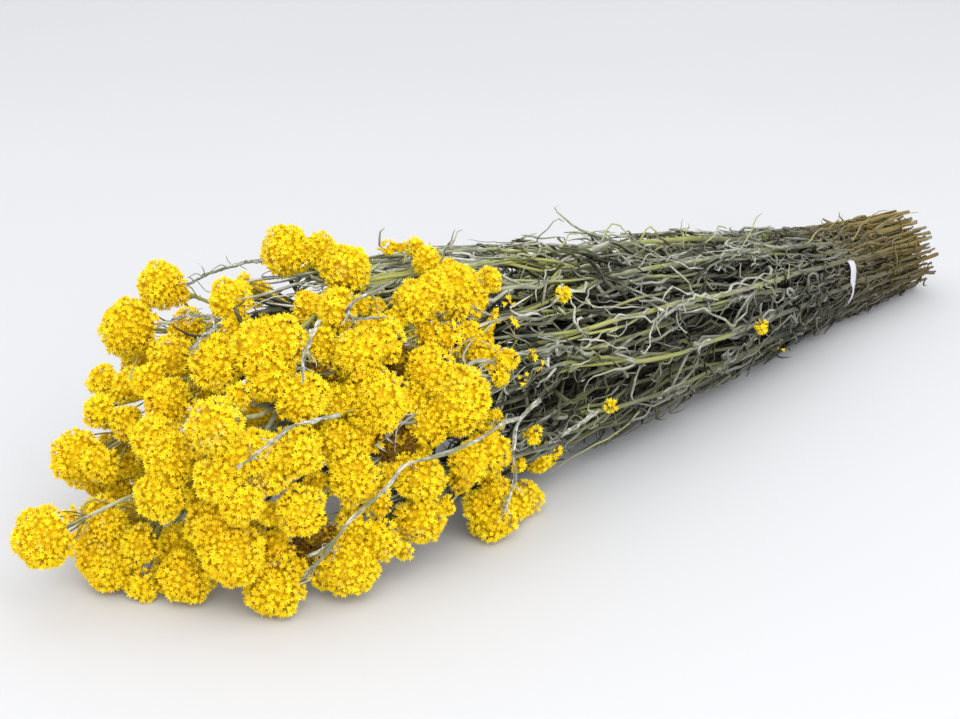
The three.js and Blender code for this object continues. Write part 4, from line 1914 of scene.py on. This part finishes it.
            # Lobes deep in the gaps get the dark bract: painted shade.
            bract = SHADED_BRACT if kind == "painted_shade_lobe" else PaperyBract()
            surfaces = self.florets.cover(ball, backwards, self.spacing, 1.0, rng, bract)
            surfaces.append((self.stalk(middle, self.stalk_radius, behind, rng), WOOLLY_STEM))
            workshop.piece(f"{kind}_{number:02d}", surfaces, smooth=False)
        surfaces = []
        for middle in self.inner_places(rng):
            ball = self.ball(middle, rng.uniform(*self.inner_radius))
            surfaces += self.florets.cover(ball, backwards, self.inner_spacing, self.inner_scale, rng)
            surfaces.append((self.stalk(middle, self.inner_stalk, self.inner_behind, rng), WOOLLY_STEM))
        workshop.piece("inner_heads", surfaces, smooth=False)


# Loose pieces, placed by where the photograph shows them


@dataclass
class Twigs:
    """Woolly twigs that lie over the flowers: the frame's two, smaller ones, and stray sprigs."""

    carrier: Carrier
    bunch: Bunch
    seed: int = 31
    radius: float = 0.66
    stations: int = 36
    threads: int = 3
    bits_per_twig: int = 9
    thread_wander: float = 0.9
    thread_share: float = 0.75
    thread_waver: float = 0.3
    thread_tip: float = 0.55
    thread_tones: Pair = (0.3, 0.8)
    lift: float = 0.4
    bit_length: Pair = (3.0, 8.0)
    bit_radius: float = 0.24
    bit_stations: int = 8
    bit_slant: float = 0.7
    bit_bend: float = 1.2
    bit_tones: Pair = (0.3, 0.9)
    flatness: float = 0.8
    sprig_radius: float = 0.42
    sprig_stations: int = 14
    sprig_lift: float = 0.6
    sprig_wander: float = 0.5
    sprig_tones: Pair = (0.1, 0.6)
    floor_gap: float = 0.1
    sprigs: tuple[Route, ...] = (
        ((684, 248), (683, 237), (681, 228), (682, 219)), ((683, 237), (687, 230), (690, 224)),
        ((738, 252), (746, 241), (752, 228), (757, 218), (763, 212)),
        ((805, 245), (817, 232), (830, 226), (844, 216)),
        ((600, 244), (606, 231), (612, 225), (620, 225), (626, 233), (632, 244)),
        ((640, 243), (648, 227), (656, 232), (660, 243)), ((404, 262), (408, 250), (410, 238)),
        ((440, 262), (445, 250), (455, 238), (462, 229)),
        ((440, 262), (447, 247), (452, 238), (455, 229)),
        ((852, 240), (862, 225), (872, 215), (888, 210)),
        ((866, 240), (880, 225), (900, 214), (918, 212)),
        ((640, 412), (620, 430), (598, 444), (575, 455), (545, 477)),
        ((706, 244), (716, 232), (722, 226), (728, 230)),
        ((560, 250), (566, 238), (575, 233), (590, 232)), ((787, 278), (789, 268), (786, 261)),
        ((130, 378), (133, 368), (138, 358)), ((82, 512), (92, 500), (106, 502), (122, 510)),
    )
    framed: tuple[tuple[Route, ...], ...] = (
        (((340, 415), (318, 420), (295, 425), (270, 443), (237, 468)),),
        (
            (
                (520, 418), (500, 425), (475, 442), (440, 455), (405, 465), (390, 483), (372, 502),
                (350, 520), (335, 540), (308, 556),
            ),
            ((335, 540), (320, 560), (303, 578)),
        ),
    )
    loose: tuple[Route, ...] = (
        ((262, 261), (230, 266), (200, 278), (188, 284)),
        ((213, 317), (185, 316), (158, 326)),
        ((220, 325), (205, 335), (190, 350)),
        ((320, 320), (308, 345), (303, 365), (303, 382)),
        ((380, 290), (350, 305), (348, 315), (385, 318)),
        ((540, 400), (520, 420), (513, 450), (515, 480), (508, 500), (502, 513)),
        ((600, 410), (570, 430), (545, 445)),
    )

    def woolly(self, route: Array, radius: float, rng: Random) -> Surface:
        """Winds a few threads of waving width round one another.

        Args:
            route: The twig's route, (1, stations, 3).
            radius: Its half width.
            rng: Source of the waves.

        Returns:
            The threads.
        """
        share = np.linspace(0, 1, route.shape[1])
        routes = np.repeat(route, self.threads, axis=0)
        routes = routes + ripple(rng, self.threads, share, (2.0, 5.0, 11.0)) * radius * self.thread_wander
        waver = 1 + self.thread_waver * ripple(rng, self.threads, share, (4.0, 9.0, 15.0))[..., 0]
        width = radius * self.thread_share * waver * blend(1.0, self.thread_tip, share)[None]
        tones = rng.uniform(*self.thread_tones, self.threads)
        return sweep(routes, width, width * self.flatness, UP, 7, tones).lit(1.0)

    def bits(self, route: Array, rng: Random) -> Surface:
        """Frays a twig: short fine bits leave it at a slant and bend.

        Args:
            route: The twig's route, (1, stations, 3).
            rng: Source of everything random.

        Returns:
            The bits.
        """
        station = rng.integers(2, self.stations - 3, self.bits_per_twig)
        foot = route[0, station]
        forward = unit(route[0, station + 1] - foot)
        slant = unit(forward + rng.normal(0, self.bit_slant, foot.shape))
        length = rng.uniform(*self.bit_length, (self.bits_per_twig, 1))
        bend = rng.normal(0, self.bit_bend, foot.shape)
        controls = np.stack([foot, foot + slant * length * 0.5 + bend, foot + slant * length], 1)
        narrowed = np.sqrt(np.linspace(1.0, 0.2, self.bit_stations))[None]
        width = self.bit_radius * narrowed * np.ones((len(foot), 1))
        tones = rng.uniform(*self.bit_tones, len(foot))
        return sweep(curve_through(controls, self.bit_stations), width, width, UP, 4, tones).lit(1.0)

    def laid(self, pixels: Route, tree: BVHTree | None, rng: Random) -> Surface:
        """Lays one woolly twig with its frayed bits along pixels, on the tree or the bunch's outline."""
        route = curve_through(self.carrier.route(pixels, self.lift, tree)[None], self.stations)
        return join([self.woolly(route, self.radius, rng), self.bits(route, rng)])

    def sprig(self, pixels: Route, rng: Random) -> Surface:
        """Lays one thin bare sprig.

        Args:
            pixels: The pixels that it passes.
            rng: Source of its waves and tone.

        Returns:
            The sprig.
        """
        route = curve_through(self.carrier.route(pixels, self.sprig_lift)[None], self.sprig_stations)
        share = np.linspace(0, 1, self.sprig_stations)
        route = route + ripple(rng, 1, share, (2.0, 4.0)) * self.sprig_wander
        width = self.sprig_radius * np.sqrt(1.05 - share)[None]
        made = sweep(route, width, width * self.flatness, UP, 6, rng.uniform(*self.sprig_tones, 1))
        made.points[:, 2] = np.maximum(made.points[:, 2], self.floor_gap)
        return made.lit(1.0)

    def make(self, workshop: Workshop) -> None:
        """Makes the twigs over the flowers.

        Args:
            workshop: What makes the pieces.
        """
        rng = np.random.default_rng(self.seed)
        for (name, twig), arms in zip(self.bunch.twigs.items(), self.framed):
            made = join([self.laid(arm, twig.tree(), rng) for arm in arms])
            workshop.piece(f"{name}_wool", [(made, WHITE_TWIG)], (name,))
        for number, pixels in enumerate(self.loose, 1):
            made = self.laid(pixels, None, rng)
            workshop.piece(f"loose_twig_{number:02d}", [(made, WHITE_TWIG)])
        sprigs = join([self.sprig(pixels, rng) for pixels in self.sprigs])
        workshop.piece("stray_sprigs", [(sprigs, WOOLLY_STEM)])


@dataclass
class TieBand:
    """The white elastic band: one turn round the stems, broad where it lies flat and thin where rolled."""

    bunch: Bunch
    stations: int = 160
    reach: float = 23.4
    sunk: float = 3.6
    broad: float = 2.1
    thin: float = 0.55
    thickness: float = 0.35
    broad_turn: float = 2.85
    broad_sharpness: float = 30.0
    tail_turn: float = 3.24
    tail_sharpness: float = 8.0
    full_within: float = 0.984
    ripple: float = 0.35
    ripples: int = 12
    lean: float = 0.9
    slant: float = 1.2
    slant_turn: float = 0.6
    weave: float = 0.5
    sides: int = 8
    floor_gap: float = 0.4

    def make(self, workshop: Workshop) -> None:
        """Lays the band in place of the frame's plain ring.

        Its middle goes round the tie with a small ripple in its radius, as it runs over single
        stems. On one part of the turn it swells from thin to broad and lies on top of the leaves, as
        does the thin stretch beside it; elsewhere it has sunk between them.

        Args:
            workshop: What makes the piece.
        """
        turn = np.linspace(0, 2 * np.pi, self.stations)
        flat = smooth_step(1 + self.broad_sharpness * (np.cos(turn - self.broad_turn) - self.full_within))
        tail = smooth_step(1 + self.tail_sharpness * (np.cos(turn - self.tail_turn) - self.full_within))
        reach = self.reach - self.sunk * (1 - np.maximum(flat, tail))
        reach = reach + self.ripple * np.sin(self.ripples * turn)
        slant = self.slant * np.sin(turn + self.slant_turn)
        lean = self.lean + slant + self.weave * np.sin(3 * turn)
        radial = np.stack([np.zeros_like(turn), np.cos(turn), np.sin(turn)], -1)
        path = self.bunch.tie + radial * reach[:, None] + np.array([1.0, 0, 0]) * lean[:, None]
        path[:, 2] = np.maximum(path[:, 2], self.floor_gap)
        width = blend(self.thin, self.broad, flat)
        across = np.broadcast_to([1.0, 0.0, 0.0], path.shape)
        depth = np.full(self.stations, self.thickness)
        made = sweep(path[None], width[None], depth[None], across[None], self.sides, np.zeros(1))
        length = made.values["along"] * 2 * np.pi * self.reach
        made = Surface(made.points, made.faces, {"length": length})
        workshop.piece("tie_band_elastic", [(made, ElasticBand())], ("tie_band",))


# The studio


@dataclass(frozen=True)
class Lamp:
    """A square soft light that faces the bunch: its place and size in metres, and its power."""

    name: str
    place: Triple
    size: float
    power: float

    def make(self) -> None:
        """Adds the light to the scene."""
        data = bpy.data.lights.new(self.name, "AREA")
        data.shape = "SQUARE"
        data.size = self.size
        data.energy = self.power
        light = put_in_scene(self.name, data)
        light.location = self.place
        x, y, z = self.place
        light.rotation_euler = (math.atan2(math.hypot(x, y), z), 0.0, math.atan2(-y, -x) - math.pi / 2)


@dataclass(frozen=True)
class Studio:
    """A plain pale floor under soft light from above and a little from the left."""

    floor_light: str = "#cacacb"
    floor_dark: str = "#c8c8c9"
    floor_patch_mm: float = 400.0
    floor_size: float = 16.0
    sky: str = "#f2f4f8"
    sky_strength: float = 1.17
    lamps: tuple[Lamp, ...] = (
        Lamp("key_light", (-0.9, -0.2, 2.1), size=2.4, power=13.0),
        Lamp("fill_light", (-0.9, -1.7, 1.3), size=2.0, power=45.0),
    )

    def make_floor(self) -> None:
        """Lays the floor: a plane of even grey with a faint unevenness."""
        tree = Tree("matt_floor")
        patches = tree.noise(self.floor_patch_mm, 2.0)
        colour = tree.ramp(patches, [(0.3, self.floor_dark), (0.7, self.floor_light)])
        material = tree.finish({"Base Color": colour, "Roughness": 0.8, "Specular IOR Level": 0.2})
        half = self.floor_size / 2
        corners = [(-half, -half, 0.0), (half, -half, 0.0), (half, half, 0.0), (-half, half, 0.0)]
        mesh = bpy.data.meshes.new("studio_floor")
        mesh.from_pydata(corners, [], [(0, 1, 2, 3)])
        mesh.materials.append(material)
        put_in_scene("studio_floor", mesh)

    def make(self) -> None:
        """Sets up the floor, the lights and the sky."""
        self.make_floor()
        for lamp in self.lamps:
            lamp.make()
        world = bpy.data.worlds.new("studio_sky")
        world.use_nodes = True
        sky = world.node_tree.nodes["Background"]
        sky.inputs["Color"].default_value = srgb(self.sky)
        sky.inputs["Strength"].default_value = self.sky_strength
        bpy.context.scene.world = world
        bpy.context.scene.view_settings.view_transform = "Standard"


def main() -> None:
    """Builds the pieces round the frame, in order, and reports each one."""
    logging.basicConfig(level=logging.INFO, format="%(message)s")
    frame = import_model()
    workshop = Workshop()
    bunch = Bunch(frame["nodes"])
    view = PhotoView(tuple(bunch.tie))
    view.make_camera()
    envelope = Envelope(bunch)
    carrier = Carrier(bunch, envelope, view)
    stems = Stems(bunch, envelope)
    florets = Florets()
    FlowerHeads(bunch, stems, florets).make(workshop)
    SmallHeads(carrier, stems, florets).make(workshop)
    stems.make(workshop)
    CutEnds(stems).make(workshop)
    Leaves(stems, envelope).make(workshop)
    Twigs(carrier, bunch).make(workshop)
    TieBand(bunch).make(workshop)
    Studio().make()
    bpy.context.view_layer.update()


if __name__ == "__main__":
    main()
